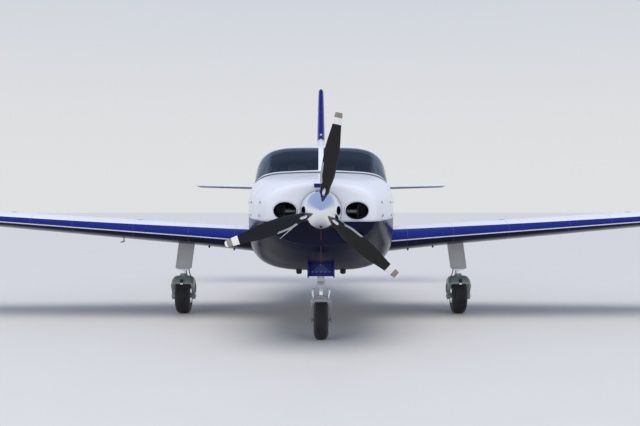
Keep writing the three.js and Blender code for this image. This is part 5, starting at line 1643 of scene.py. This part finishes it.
def tail_ends(beyond=0):
    return [tail_hinge(ELEVATOR["from"] - beyond), tail_hinge(ELEVATOR["to"] + beyond)]


def rudder_hinges():
    """Hinges between two heights of the slanting hinge line."""
    ends = []
    (low, start), (high, end) = RUDDER["low"], RUDDER["high"]
    for z in (2000, 3300):
        t = (z - low) / (high - low)
        radius = RUDDER["radii"][0] + (RUDDER["radii"][1] - RUDDER["radii"][0]) * t
        ends.append((spot(0, start + (end - start) * t, z), radius))
    return hinge_fittings(ends, (0.08, 0.92), RUDDER["arm"])


def make_tail():
    """Fin and rudder, tailplane and elevator, and the tail cone with the slot for them."""
    fixed, room = rudder_hinges()
    upright = lofted([fin_ring(row) for row in fin_curve_rows()])
    foot = lofted([fin_ring(row) for row in RUDDER_FOOT])
    rudder = carved(joined_solid(upright.copy(), foot), rudder_room(0), how="INTERSECT")
    piece("rudder_skin", carved(rudder, *room), FIN_PAINT, "rudder", sharp=24, body="rudder")
    fin = carved(upright, rudder_room(RUDDER["gap"]), solid_body(6800, TAIL_END, -0.3, 60))
    piece("fin_skin", fin, FIN_PAINT, "fin", sharp=24)
    piece("rudder_hinge_arms", fixed, STEEL)
    half, gap = tail_half(), ELEVATOR["gap"]
    arms, room = hinge_fittings(tail_ends(), (0.1, 0.9), ELEVATOR["arm"])
    elevator = carved(half.copy(), control_space(tail_ends(), TAIL_UP, 0), how="INTERSECT")
    pair("elevator_skin", carved(elevator, *room), TAIL_PAINT, "elevator", "elevator", sharp=24)
    cut = carved(half, control_space(tail_ends(gap), TAIL_UP, gap))
    notch = block((-240, ELEVATOR["hinge"] - 60, 1500), (240, 8700, 1900))
    whole = carved(joined_solid(cut.copy(), mirrored(cut)), notch)
    piece("tailplane_skin", whole, TAIL_PAINT, "tailplane", sharp=24)
    piece("elevator_hinge_arms", both_sides(arms), STEEL)
    end = carved(lofted([section_ring(s, 14.3) for s in (8150, 8154)]), rudder_room(RUDDER["gap"]))
    piece("tail_end_plate", end, SEAL, sharp=40)
    slot = tail_half(3.0)
    cone = shell(BULKHEAD + 0.8, TAIL_END, 14)
    cone = carved(cone, joined_solid(slot.copy(), mirrored(slot)), rudder_room(RUDDER["gap"]))
    smooth_skin(piece("tail_cone_skin", cone, BODY_PAINT, "tail_cone"))


# Propeller
PROP_STATION = 250
SPINNER_RADIUS, SPINNER_LENGTH = 194, 392
HUB = spot(0, 0, THRUST_Z)
BLADE_ANGLES = (10.5, 130.5, 250.5)
BLADE = [  # radius, chord, thickness, twist from the disc's plane
    (120, 84, 84, 40), (205, 100, 72, 38), (330, 160, 42, 33), (480, 160, 30, 27.5), (570, 156, 26, 25),
    (650, 137, 22, 22), (800, 92, 16, 18), (880, 80, 13, 16), (930, 66, 10, 15), (948, 34, 7, 15),
]
BLADE_CURVES = table_curves(BLADE, ("chord", "thick", "twist"))
BLADE_RADII = [120, 150, 180, 205, 240, 280, 330, 390, 450, 520, 590, 660, 720, 780, 830, 870, 895, 915, 928,
               936, 942, 946, 948]
SHAFT_END = 758.5


def blade_point(radius, a, margin=0.0):
    """A point of the blade's surface at an angle round its section, before it is turned to its place."""
    chord, thick, twist = (BLADE_CURVES[k](radius) for k in ("chord", "thick", "twist"))
    along = math.cos(a) * (chord / 2 + margin)
    fat = 1.0 - 0.28 * (1 - math.cos(a)) / 2 * min(max((radius - 205) / 200, 0), 1)
    rise = math.sin(a) * (thick / 2 + margin) * fat
    turn = math.radians(twist)
    return Vector((along * math.cos(turn) - rise * math.sin(turn),
                   along * math.sin(turn) + rise * math.cos(turn), radius)) * MM


def blade_ring(radius, margin=0.0):
    return [blade_point(radius, a, margin) for a in turn_angles(40)]


def blade_boot():
    """Ice guard wrapped round the inner part of a blade's leading edge."""
    rings = []
    for radius in spread(246, 452, 14):
        wide = 0.62 * min(1.0, (radius - 236) / 20, (462 - radius) / 20)
        arc = spread(math.pi - wide, math.pi + wide, 11)
        rings.append([blade_point(radius, a, 1.1) for a in arc]
                     + [blade_point(radius, a, -1.5) for a in arc[::-1]])
    return lofted(rings)


def blade_placed(bm, degrees):
    turned(bm, math.radians(degrees), (0, 1, 0), (0, 0, 0))
    bmesh.ops.translate(bm, vec=spot(0, PROP_STATION, THRUST_Z), verts=bm.verts)
    return bm


def spinner_profile():
    """Half outline of the spinner: full towards the tip, then a rim and a closed back."""
    profile = [(0.0, 0.0)]
    for t in spread(0, 1, 61)[1:]:
        profile.append((SPINNER_LENGTH * t ** 1.25, SPINNER_RADIUS * math.sin(t * math.pi / 2) ** 0.92))
    return profile + [(SPINNER_LENGTH, SPINNER_RADIUS - 6), (SPINNER_LENGTH - 4, 0.0)]


def make_propeller():
    """Blades with ice guards and root caps, the spinner with room for them, its plate and its shaft."""
    caps, holes = [], []
    for i, angle in enumerate(BLADE_ANGLES):
        name, blade = f"blade_{i + 1}", blade_placed(lofted([blade_ring(r) for r in BLADE_RADII]), angle)
        piece(name, blade, BLADE_FINISH, "propeller_" + name, sharp=50, body="propeller")
        stem = tube([Vector((-0.006, -0.034, r)) for r in (0.150, 0.156, 0.196, 0.202)],
                    [0.012, 0.015, 0.015, 0.011], 20)
        tip = nut(Vector((-0.006, -0.034, 0.200)), (0, 0, 1), 0.018, 0.009, washer=False)
        caps.append(blade_placed(joined(stem, tip), angle))
        hole = lofted([blade_ring(r, 3.0 if r > 130 else -2.0) for r in (118, 150, 205, 260, 330)])
        holes.append(blade_placed(hole, angle))
    guards = [blade_placed(blade_boot(), angle) for angle in BLADE_ANGLES]
    piece("blade_ice_guards", joined(*guards), BOOT, sharp=50, body="propeller")
    piece("blade_root_caps", joined(*caps), BRIGHT, sharp=40, body="propeller")
    dome = carved(lathe(spinner_profile(), HUB, AFT, 96), *holes)
    piece("spinner_dome", dome, CHROME, "spinner", sharp=28, body="propeller")
    shaft = rod((0, SPINNER_LENGTH - 6, THRUST_Z), (0, SHAFT_END, THRUST_Z), 45, 40)
    piece("propeller_shaft", shaft, STEEL, body="propeller")
    plate = lathe([(393, 100), (393, 195.5), (395, 197), (401, 197), (403, 195.5), (403, 100), (393, 100)],
                  HUB, AFT, 96)
    piece("spinner_back_plate", plate, SEAL, sharp=40, body="propeller", slot="black_blade")


# Gear doors
MAIN_DOOR = {"half": 104, "ahead": 66, "thick": 10, "low": 575, "high": 960, "strap": 700}
NOSE_DOOR = [(960, 770), (985, 652), (1560, 652), (1650, 740), (1650, 860), (960, 860)]  # station, z


def leg_x(z):
    """Middle of the slanting main leg at a height."""
    share = (z * MM - LEG_LOW.z) / (LEG_TOP.z - LEG_LOW.z)
    return (LEG_LOW.x + (LEG_TOP.x - LEG_LOW.x) * share) / MM


def make_gear_doors():
    """Door plates carried by the main legs and the two side doors of the nose well."""
    low, high, half, z = MAIN_DOOR["low"], MAIN_DOOR["high"], MAIN_DOOR["half"], MAIN_DOOR["strap"]
    station = MAIN_STATION - MAIN_DOOR["ahead"]
    front = station - MAIN_DOOR["thick"]

    def outline(grow):
        corners = [(leg_x(low) - half - grow, low - grow), (leg_x(low) + half + grow, low - grow),
                   (leg_x(high) + half + grow, high), (leg_x(high) - half - grow, high)]
        return bent_corners(corners, 24)
    plate = rounded(along_y(outline(0), front, station), 0.003, 2)
    rim = carved(along_y(outline(-9), front - 2.5, front + 1),
                 along_y(outline(-16), station - 40, station + 10))
    wing = wing_whole()
    bmesh.ops.translate(wing, vec=(0, 0, -0.0006), verts=wing.verts)
    pair("main_door_plate", carved(joined_solid(plate, rim), wing), PLATE, "main_gear_door", sharp=40)
    places = [(way * (half - 26), z) for way in (-1, 1) for z in (604, 676, 748, 820)]
    places += [(-40, 596), (0, 596), (40, 596), (-34, 700), (34, 700)]
    screws = [stud(spot(leg_x(z) + x, front - 0.5, z), (0, -1, 0), 0.006, 0.0018) for x, z in places]
    pair("main_door_screws", joined(*screws), STEEL, sharp=50)
    strap = block((leg_x(z) - 58, station - 2, z - 9), (leg_x(z) + 58, MAIN_STATION - 50, z + 11), 0.003)
    pair("main_door_strap", strap, STEEL, sharp=40)
    leaf = along_x(bent_corners(NOSE_DOOR, 22), NOSE_WELL[0] + 3.2, NOSE_WELL[0] + 16.5)
    bead = along_x(bent_corners(grown(NOSE_DOOR, -22), 20), NOSE_WELL[0] + 15, NOSE_WELL[0] + 16.9)
    leaf = carved(joined_solid(rounded(leaf, 0.003, 2), bead), solid_body(930, 1700, -0.4))
    pair("nose_door_leaf", leaf, ROYAL_PAINT, "nose_gear_door", sharp=40)


# Fittings on the skin
ANTENNA = {"from": 4000, "chord": 150, "tip": 70, "sweep": 90, "high": 2300, "thick": 12}
PITOT = {"x": -2500, "station": 3260, "tube": 929, "high": 1040, "chord": 62, "thick": 12}
BEACON = {"z": 2640, "station": 7742}
FILLER_PLACES, DRAIN_PLACES, WICK_PLACES = (2300, 3900), (1075, 1391), (4700, 5250, 5780)
HANDLES = (("upper_door", 1510, 4740), ("lower_door", 1400, 4990))  # body, z, station


def upright_blade(low, high, lead_low, lead_high, chords, thick, x=0.0):
    """Streamlined mast standing on a surface."""
    rings = []
    for t in spread(0, 1, 12):
        lead = lead_low + (lead_high - lead_low) * t
        outline = airfoil(chords[0] + (chords[1] - chords[0]) * t, thick * (1 - 0.35 * t), 0, 16)
        rings.append([spot(x + side * (1.0 if t < 0.95 else 0.6), lead + a, low + (high - low) * t)
                      for a, side in outline])
    return lofted(rings)


def on_wing(u, share, side, below=False):
    """Place on the wing's skin, by span place and share of the chord."""
    _, lead, chord, thick = row_between(WING, u)
    half = half_thickness(share) * thick + 2 * share
    height = CAMBER * thick * 4 * share * (1 - share) + (-half if below else half)
    place = wing_point(u, lead + share * chord, height - share * chord * math.tan(WING_INCIDENCE))
    place.x *= side
    return place


def make_masts():
    """Roof antenna on its base, pitot mast with its tube, and the beacon on the fin."""
    foot, start = skin_z(ANTENNA["from"] + 75, 0) - 4, ANTENNA["from"]
    mast = upright_blade(foot, ANTENNA["high"] - 2, start, start + ANTENNA["sweep"],
                         (ANTENNA["chord"], ANTENNA["tip"]), ANTENNA["thick"])
    piece("roof_antenna_blade", mast, WHITE_PAINT, "roof_antenna", sharp=40)
    places = [(0, s, skin_z(s, 0)) for s in spread(start - 12, start + 164, 6)]
    base = strip([spot(*p) for p in places], [skin_normal(*p) for p in places], 0.044, 0.0035)
    piece("roof_antenna_base", base, SEAL, sharp=40)
    x, station, z, chord = PITOT["x"], PITOT["station"], PITOT["tube"], PITOT["chord"]
    mast = upright_blade(z - 4, PITOT["high"], station - 30, station - 30, (chord, chord), PITOT["thick"], x)
    pipe = tube([spot(x, station + ahead, z) for ahead in (24, 20, -60, -176, -189)],
                [0.004, 0.010, 0.010, 0.0085, 0.0072], 20)
    piece("pitot_mast_blade", joined(mast, pipe), WHITE_PAINT, "pitot_mast", sharp=40)
    tip = [(0, 0), (0, 2.6), (-2, 4.4), (-1, 6.4), (4, 7.4), (4, 0)]
    piece("pitot_tip", lathe(tip, spot(x, station - 190, z), AFT, 24), BRIGHT, sharp=40)
    dome = [(0, 0), (1, 7), (5, 12.5), (12, 16.5), (22, 18.5), (34, 19.0), (34, 0)]
    ring = [(24, 17), (24, 19.6), (34, 19.9), (38, 19.9), (38, 17), (24, 17)]
    station, z = BEACON["station"], BEACON["z"]
    piece("beacon_dome", lathe(dome, spot(0, station + 0.5, z), AFT, 32), LENS, "beacon", sharp=60)
    piece("beacon_base_ring", lathe(ring, spot(0, station, z), AFT, 32), BRIGHT, sharp=40)


def make_fittings():
    """Fuel caps and drains on the wings, static wicks on the ailerons, handles on the doors."""
    caps, vents = [], []
    for side, name in ((1, "port"), (-1, "starboard")):
        for u in FILLER_PLACES:
            here, up = on_wing(u, 0.28, side), Vector((UP.x * side, -0.02, UP.z))
            rim = [(-3, 0), (-3, 44), (0.6, 44), (1.8, 42), (1.8, 26), (0.8, 24), (0.8, 0)]
            half = Vector((0.018, 0, 0))
            caps.append(lathe(rim, here, up, 40))
            caps.append(strip([here - half, here + half], [up, up], 0.012, 0.0045, 0.0))
        for u in DRAIN_PLACES:
            here = on_wing(u, 0.20, side, below=True)
            path = [here + Vector((0, a, 0.003)) for a in (-0.032, -0.028, -0.012, 0.012, 0.030, 0.040)]
            vents.append(strip(path, [Vector((0, 0, -1))] * 6, 0.016, 0.024))
        wicks = []
        for u in WICK_PLACES:
            here = on_wing(u, 0.985, side)
            path = [here, here + Vector((0, 0.035, -0.002)), here + Vector((0, 0.150, -0.008))]
            wicks.append(tube(path, [0.0028, 0.0024, 0.0010], 8))
        piece("aileron_static_wicks_" + name, joined(*wicks), SEAL, sharp=60, body="aileron_" + name)
    piece("fuel_filler_caps", joined(*caps), STEEL, sharp=40)
    piece("wing_drain_fairings", joined(*vents), SEAL, sharp=40)
    for body, z, station in HANDLES:
        place = (skin_x(station, z), station, z)
        here, out, half = spot(*place), skin_normal(*place), Vector((0, 0.058, 0))
        dish = strip([here - half, here + half], [out, out], 0.050, 0.0012)
        path = [here + out * 0.001 + Vector((0, a, 0)) for a in (-0.048, -0.040, 0.030, 0.040)]
        piece(body + "_handle_dish", dish, STEEL, sharp=40, body=body)
        piece(body + "_handle", strip(path, [out] * 4, 0.020, 0.0075), BRIGHT, sharp=40, body=body)


# Undercarriage: tyres as radius, width and bead radius
NOSE_STATION, NOSE_TRAIL, NOSE_TYRE, MAIN_TYRE = 1150, 40, (200, 156, 68), (222, 190, 78)
NOSE_AXLE = spot(0, NOSE_STATION + NOSE_TRAIL, NOSE_TYRE[0])
MAIN_AXLE = spot(MAIN_X, MAIN_STATION, MAIN_TYRE[0])
ACROSS = Vector((1, 0, 0))
TREAD_DEPTH, BLOCK_GAP, BLOCK_DROP = 6.2, 0.0016, 0.0045
RIBS = ((-0.60, -0.36, 5.0, 0.8), (-0.30, -0.05, 0.8, 0.8), (0.05, 0.30, 0.8, 0.8), (0.36, 0.60, 0.8, 5.0))


def make_tyre(name, centre, size, body, node, blocks):
    """Tyre with a ribbed, block-cut tread and a beaded sidewall."""
    radius, width, bead = size
    half = width / 2
    wall = [(0.50, bead), (0.60, bead + 5), (0.80, bead + 14), (0.93, bead + 34),
            (0.985, (radius + bead) / 2), (0.95, radius - 46), (0.90, radius - 34), (0.87, radius - 26),
            (0.78, radius - 15), (0.62, radius - 8)]
    profile = [(-half * share, r) for share, r in wall]
    for low, high, first, last in RIBS:
        profile += [(half * low, radius - 7 - first), (half * (low + 0.015), radius - first),
                    (half * (high - 0.015), radius - last), (half * high, radius - 7 - last)]
    profile += [(half * share, r) for share, r in reversed(wall)] + [(-half * wall[0][0], bead)]
    bm = lathe(profile, centre, ACROSS, blocks * 2)
    cut = []
    for face in bm.faces:
        at = face.calc_center_median() - centre
        if math.hypot(at.y, at.z) > (radius - TREAD_DEPTH) * MM and len(face.verts) == 4:
            turn = math.degrees(math.atan2(at.z, at.y)) % 360 / 360
            lane = int(at.x / MM / half * 3 + 3)
            if int(turn * blocks * 2 + 0.01) % 2 == lane % 2:
                cut.append(face)
    bmesh.ops.inset_individual(bm, faces=cut, thickness=BLOCK_GAP, depth=0.0)
    for face in cut:
        for vert in face.verts:
            out = vert.co - centre
            vert.co -= Vector((0, out.y, out.z)).normalized() * BLOCK_DROP
    piece(name, bm, RUBBER, node, sharp=32, body=body)


def make_wheel(name, centre, size, axle, hub, body, node):
    """Split alloy wheel: beaded rims, dished webs with lightening holes, hub, bolts, a valve."""
    _, width, bead = size
    half, ring = width / 2, (bead + hub - 10) / 2
    side = [(0.54, bead - 0.3), (0.58, bead - 1.5), (0.58, bead - 8), (0.50, bead - 10), (0.34, bead - 14),
            (0.24, bead - 22), (0.24, hub + 12), (0.40, hub + 7), (0.50, hub + 4), (0.50, axle)]
    profile = [(-half * share, r) for share, r in reversed(side)] + [(half * share, r) for share, r in side]
    bm = lathe(profile + [profile[0]], centre, ACROSS, 72)

    def around(angle):
        return centre + Vector((0, math.cos(angle), math.sin(angle))) * ring * MM
    holes = [tube([around(a) - ACROSS * 0.05, around(a) + ACROSS * 0.05], 0.0062, 16) for a in turn_angles(6)]
    bm = carved(bm, *holes)
    extras = []
    for degrees in range(30, 390, 60):
        for way in (ACROSS, -ACROSS):
            start = around(math.radians(degrees)) + way * half * 0.24 * MM
            extras += [tube([start - way * 0.002, start + way * 0.007], 0.0055, 6),
                       tube([start, start + way * 0.0105], 0.0028, 10)]
    valve = centre + Vector((half * 0.40, 0, bead - 16)) * MM
    extras.append(tube([valve - ACROSS * 0.012, valve + Vector((0.016, 0, 0.004))], 0.0033, 10))
    piece(name, joined(bm, *extras), ALLOY, node, sharp=28, body=body)


def fork_shape(axle, half, arm, inner, outer, shoulder, ahead, behind, foot):
    """Fork as a hood about the axle: an arch swept ahead and behind, with a round boss at each foot.

    Radii and widths are in millimetres from the axle, the sweep in degrees.
    """
    def corner(x, r, bend):
        return [(x - bend + bend * math.cos(a), r - bend + bend * math.sin(a))
                for a in spread(0, math.pi / 2, 11)]
    side = [(half, foot * 0.5)] + corner(half, outer, shoulder)
    under = corner(half - arm, inner, 26)[::-1] + [(half - arm, foot * 0.5)]
    arch = side + [(-x, r) for x, r in side[::-1]] + [(-x, r) for x, r in under[::-1]] + under
    rings = []
    for a in spread(math.radians(-ahead), math.radians(behind), 15):
        rings.append([axle + Vector((x, r * math.sin(a), r * math.cos(a))) * MM for x, r in arch])
    boss = [(-arm, 0), (-arm, foot * 0.9), (-4, foot), (2, foot), (5, foot * 0.8), (5, 0)]
    bosses = [lathe(boss, axle + way * half * MM, way, 40) for way in (-ACROSS, ACROSS)]
    return joined(rounded(lofted(rings), 0.005, 3, 40), *bosses)


def axle_parts(axle, reach, radius, nut_at, across):
    """Axle through the fork with a nut at each end."""
    nuts = [nut(axle + way * nut_at, way, across, 0.008) for way in (-ACROSS, ACROSS)]
    return [tube([axle - ACROSS * reach, axle + ACROSS * reach], radius, 28), *nuts]


def nose_leg_plate():
    """Slanting plate in front of the nose leg, with a raised facet in lighter blue that is a painted
    highlight, a foot, rivets and a strut.
    """
    def panel(corners, bend, front, thick, edge):
        outline = [spot(x, front, z) for x, z in bent_corners(corners, bend)]
        return rounded(slab(outline, thick, AFT), edge)
    plate = panel([(-132, 660), (132, 660), (150, 812), (-150, 812)], 12, 1092, 0.012, 0.003)
    facet = panel([(-108, 700), (108, 700), (12, 792), (-12, 792)], 8, 1087, 0.006, 0.003)
    foot = panel([(-126, 664), (126, 664), (128, 688), (-128, 688)], 5, 1088, 0.005, 0.002)
    piece("nose_leg_plate", joined(plate, foot), ROYAL_PAINT)
    # The facet's lighter blue is a painted highlight.
    piece("nose_leg_plate_highlight_facet", facet, FACET_HIGHLIGHT_PAINT)
    places = [(side * (42 + z * 0.118), 1092, z) for side in (-1, 1) for z in (706, 733, 760, 787)]
    places += [(x, 1087, z) for x, z in ((-90, 706), (-45, 706), (0, 706), (45, 706), (90, 706), (0, 778))]
    rivets = [stud(spot(*place), (0, -1, 0), 0.0045, 0.0014) for place in places]
    piece("nose_leg_plate_rivets", joined(*rivets), STEEL)
    piece("nose_plate_strut", block((-20, 1100, 715), (20, 1150, 745), 0.003), STEEL)


LEG_ROOT, FORK_SWEEP = 1009.7, 21
STEERING_HORN = ((72, 424), (79, 448), (85, 474), (88, 492), (86, 506), (79, 516), (69, 523), (58, 528))


def make_nose_gear():
    """Nose leg with its braces, and the fork, steering arms and wheel that turn about it."""
    station = NOSE_STATION
    sleeve = [(0, 38), (0, 43), (8, 46), (34, 46), (42, 42), (60, 41), (66, 38)]
    parts = [rod((0, station, 560), (0, station, LEG_ROOT), 38, 40),
             lathe(sleeve, spot(0, station, 540), (0, 0, 1), 48),
             rod((0, station, 505), (0, station, 545), 30, 36),
             block((-80, 1470, 975), (80, 1530, LEG_ROOT), 0.004)]
    for side in (-1, 1):
        parts += [rod((side * 30, station, 760), (side * 60, 1500, 985), 15, 16),
                  rod((side * 22, station, 760), (side * 44, station, 760), 20, 20),
                  rod((side * 36, station, 900), (side * 78, station, 900), 17, 20)]
    piece("nose_leg_casting", joined(*parts), STEEL, "nose_leg", sharp=35)
    nose_leg_plate()
    fork = fork_shape(NOSE_AXLE, 108, 18, 212, 246, 70, FORK_SWEEP, FORK_SWEEP, 30)
    cap = [(0, 0), (0, 38), (5, 42), (14, 42), (22, 34), (26, 22)]
    fork = joined(fork, lathe(cap, spot(0, station, 438), (0, 0, 1), 48),
                  block((-62, station - 34, 426), (62, station + 34, 450), 0.009, 3),
                  *axle_parts(NOSE_AXLE, 0.119, 0.013, 0.1115, 0.030))
    piece("nose_fork_casting", fork, FORK_GREY, "nose_fork", sharp=35, body="nose_steering")
    lip = [(90, 130)] + [(68 + 22 * math.cos(a), 188 + 22 * math.sin(a)) for a in spread(0, math.pi / 2, 8)]
    lip += [(-x, r) for x, r in lip[::-1]]
    lean = math.radians(-FORK_SWEEP)
    edge = [NOSE_AXLE + Vector((x, r * math.sin(lean) - 1.5, r * math.cos(lean) + 1)) * MM for x, r in lip]
    piece("nose_fork_lip", tube(edge, 0.0032, 10), BRIGHT, sharp=60, body="nose_steering")
    horns = []
    for side in (-1, 1):
        path = [spot(side * x, station, z) for x, z in STEERING_HORN]
        horns.append(tube(path, [0.0082, 0.0082, 0.008, 0.008, 0.008, 0.0078, 0.0075, 0.006], 16))
        horns.append(rod((side * 88, station - 10, 494), (side * 88, station + 10, 494), 10.5, 20))
    piece("nose_steering_arms", joined(*horns), BRIGHT, sharp=35, body="nose_steering")
    piece("nose_piston", rod((0, station, 440), (0, station, 504.7), 22, 36), OLEO, body="nose_steering")
    make_tyre("nose_tyre_tread", NOSE_AXLE, NOSE_TYRE, "nose_wheel_set", "nose_tyre", 44)
    make_wheel("nose_wheel_halves", NOSE_AXLE, NOSE_TYRE, 14, 24, "nose_wheel_set", "nose_wheel")


BRAKE_HOSE = [(-60, -40, 850), (-64, -20, 720), (-62, 0, 620), (-66, 16, 560), (-74, 26, 505), (-92, 34, 470),
              (-128, 40, 430), (-150, 36, 340), (-150, 22, 262)]  # from the leg: across, aft, and height


def by_leg(x, aft, z):
    """Place given from the main leg across and aft, and from the ground up, for rods and blocks."""
    return MAIN_X + x, MAIN_STATION + aft, z


def near_axle(low, high, edge):
    """Box between two places given from the main axle in metres."""
    return box(MAIN_AXLE + Vector(low), MAIN_AXLE + Vector(high), edge)


def make_brakes():
    """Caliper and hose on the leg, and the disc that turns with the wheel."""
    bolts = [nut(MAIN_AXLE + Vector((-0.118, 0.072, z)), (-1, 0, 0), 0.012, 0.006) for z in (-0.022, 0.022)]
    caliper = joined(near_axle((-0.118, 0.052, -0.036), (-0.096, 0.092, 0.036), 0.004),
                     near_axle((-0.140, 0.020, -0.016), (-0.112, 0.084, 0.016), 0.003), *bolts)
    pair("main_brake_caliper", caliper, STEEL, sharp=40)
    disc = [(-47, 30), (-47, 46), (-80, 46), (-80, 92), (-84, 92), (-84, 88), (-89, 88), (-89, 92), (-93, 92),
            (-93, 30), (-47, 30)]
    pair("main_brake_disc", lathe(disc, MAIN_AXLE, ACROSS, 72), BRIGHT, body="main_wheel_set", sharp=28)
    hose = soft_path([spot(*by_leg(*place)) for place in BRAKE_HOSE], 5)
    pair("main_brake_hose", tube(hose, 0.0058, 12), SEAL, slot="tyre_rubber")


def make_scissor_links():
    """Two pairs of links behind the leg with their pins and lugs."""
    low, knee, high = (96, 500), (128, 560), (52, 640)
    links = [rod(by_leg(x, *start), by_leg(x * 0.5, *end), 9, 14)
             for start, end in ((low, knee), (knee, high)) for x in (-20, 20)]
    links += [rod(by_leg(-26, *knee), by_leg(26, *knee), 11, 18),
              rod(by_leg(-30, *low), by_leg(30, *low), 12, 18),
              block(by_leg(-30, 40, 480), by_leg(30, 104, 506), 0.005),
              block(by_leg(-40, 30, 626), by_leg(12, 66, 654), 0.005)]
    pair("main_scissor_links", joined(*links), STEEL, sharp=40)


def make_main_gear():
    """Main legs with fork, bracket, tow ring and lug, brakes, links, and the two wheels."""
    way = (LEG_TOP - LEG_LOW).normalized()
    cylinder = tube([LEG_LOW, LEG_LOW.lerp(LEG_TOP, 0.12), LEG_LOW.lerp(LEG_TOP, 0.13), LEG_TOP],
                    [0.050, 0.050, 0.046, 0.052], 40)
    collar = lathe([(0, 0), (0, 58), (10, 58), (18, 48), (34, 40), (38, 31)], spot(MAIN_X, MAIN_STATION, 474),
                   (0, 0, 1), 48)
    clamp = lathe([(-12, 47), (-12, 54), (12, 54), (12, 47), (-12, 47)], LEG_LOW + way * 0.02, way, 40)
    fork = fork_shape(MAIN_AXLE, 144, 32, 232, 262, 70, 45, 22, 44)
    leg = joined(cylinder, fork, collar, clamp, *axle_parts(MAIN_AXLE, 0.156, 0.020, 0.147, 0.038))
    pair("main_leg_casting", leg, FORK_GREEN, "main_leg", sharp=35)
    bracket = joined(block(by_leg(-70, -66, 556), by_leg(62, -46, 573), 0.004),
                     block(by_leg(-20, -60, 548), by_leg(12, -40, 560), 0.003))
    pair("main_leg_bracket", bracket, BRIGHT)
    at = MAIN_AXLE + Vector((0, -0.181, 0.205))
    ring = joined(tube([at - ACROSS * 0.017, at + ACROSS * 0.017], 0.024, 28),
                  near_axle((-0.012, -0.185, 0.171), (0.012, -0.155, 0.209), 0.003))
    pair("main_fork_tow_ring", ring, SEAL, sharp=40, slot="tyre_rubber")
    lug = joined(near_axle((-0.017, -0.188, 0.159), (0.017, -0.160, 0.185), 0.004),
                 stud(MAIN_AXLE + Vector((0, -0.188, 0.172)), (0, -1, 0), 0.007, 0.004))
    pair("main_fork_lug", lug, BRIGHT)
    piston = tube([LEG_LOW + Vector((0, 0, 0.004)), spot(MAIN_X, MAIN_STATION, 470)], 0.030, 36)
    pair("main_piston", piston, OLEO)
    make_brakes()
    make_scissor_links()
    for side, name in ((1, "port"), (-1, "starboard")):
        centre, body = Vector((MAIN_AXLE.x * side, MAIN_AXLE.y, MAIN_AXLE.z)), "main_wheel_set_" + name
        make_tyre("main_tyre_tread_" + name, centre, MAIN_TYRE, body, "main_tyre_" + name, 50)
        make_wheel("main_wheel_halves_" + name, centre, MAIN_TYRE, 21, 30, body, "main_wheel_" + name)


# Assembly of the scene
make_cowl()
make_cowl_details()
make_inlets()
make_cabin()
make_windows()
make_window_trim()
make_windshield_sill()
make_doors()
make_lining()
make_seats()
make_panel()
make_engine()
make_wings()
make_tail()
make_propeller()
make_nose_gear()
make_main_gear()
make_gear_doors()
make_masts()
make_fittings()

for node, finish in (("cabin_floor", floor_carpet()), ("exhaust_stubs", burnt_steel())):
    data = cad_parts[node].data
    data.materials.clear()
    data.materials.append(finish)


# Floor and light
def studio_floor():
    """Pale floor that the wheels stand on, far larger than the view."""
    surface = Surface("studio_floor", (0.74, 0.72, 0.67), 0.75)
    surface.set("Roughness", surface.step(surface.noise(1.5, 4.0), 0.3, 0.7, 0.55, 0.7))
    bm = bmesh.new()
    bmesh.ops.create_grid(bm, x_segments=1, y_segments=1, size=150)
    mesh = bpy.data.meshes.new("floor")
    bm.to_mesh(mesh)
    bm.free()
    mesh.materials.append(surface.material)
    floor = bpy.data.objects.new("floor", mesh)
    bpy.context.scene.collection.objects.link(floor)


def sky_light():
    """Sky that is pale at the horizon and bluer above."""
    horizon, above, strength, blue_from = (0.93, 0.94, 0.95, 1), (0.40, 0.50, 0.80, 1), 0.80, 0.7
    world = bpy.data.worlds.new("studio")
    bpy.context.scene.world = world
    world.use_nodes = True
    nodes = world.node_tree.nodes
    sky = nodes["Background"]
    sky.inputs["Strength"].default_value = strength
    heading, split = nodes.new("ShaderNodeTexCoord"), nodes.new("ShaderNodeSeparateXYZ")
    rise, shades = nodes.new("ShaderNodeMapRange"), nodes.new("ShaderNodeMix")
    shades.data_type = "RGBA"
    rise.inputs["From Min"].default_value, rise.inputs["From Max"].default_value = 0.0, blue_from
    rise.interpolation_type = "SMOOTHSTEP"
    shades.inputs["A"].default_value, shades.inputs["B"].default_value = horizon, above
    link = world.node_tree.links.new
    link(heading.outputs["Generated"], split.inputs[0])
    link(split.outputs[2], rise.inputs["Value"])
    link(rise.outputs[0], shades.inputs["Factor"])
    link(shades.outputs["Result"], sky.inputs["Color"])


def soft_light(name, place, aim, size, power, colour):
    """Soft light from a rectangle of a size in metres, or from the sky over an angle in degrees."""
    data = bpy.data.lights.new(name, "AREA" if isinstance(size, tuple) else "SUN")
    if isinstance(size, tuple):
        data.shape, data.size, data.size_y = "RECTANGLE", size[0], size[1]
    else:
        data.angle = math.radians(size)
    data.energy, data.color = power, colour
    lamp = bpy.data.objects.new(name, data)
    bpy.context.scene.collection.objects.link(lamp)
    lamp.location = place
    lamp.rotation_euler = (Vector(aim) - Vector(place)).to_track_quat("-Z", "Y").to_euler()
    lamp.visible_glossy = False


studio_floor()
sky_light()
soft_light("overhead", (0, -5, 14), (0, -1, 0), 50, 1.7, (1.0, 0.95, 0.86))
soft_light("front_left", (-10, -13, 7), (0, -2, 1.2), (8, 5), 240, (1.0, 0.97, 0.92))
soft_light("front_right", (10, -13, 7), (0, -2, 1.2), (8, 5), 180, (1.0, 0.97, 0.92))
bpy.context.scene.view_settings.view_transform = "Standard"
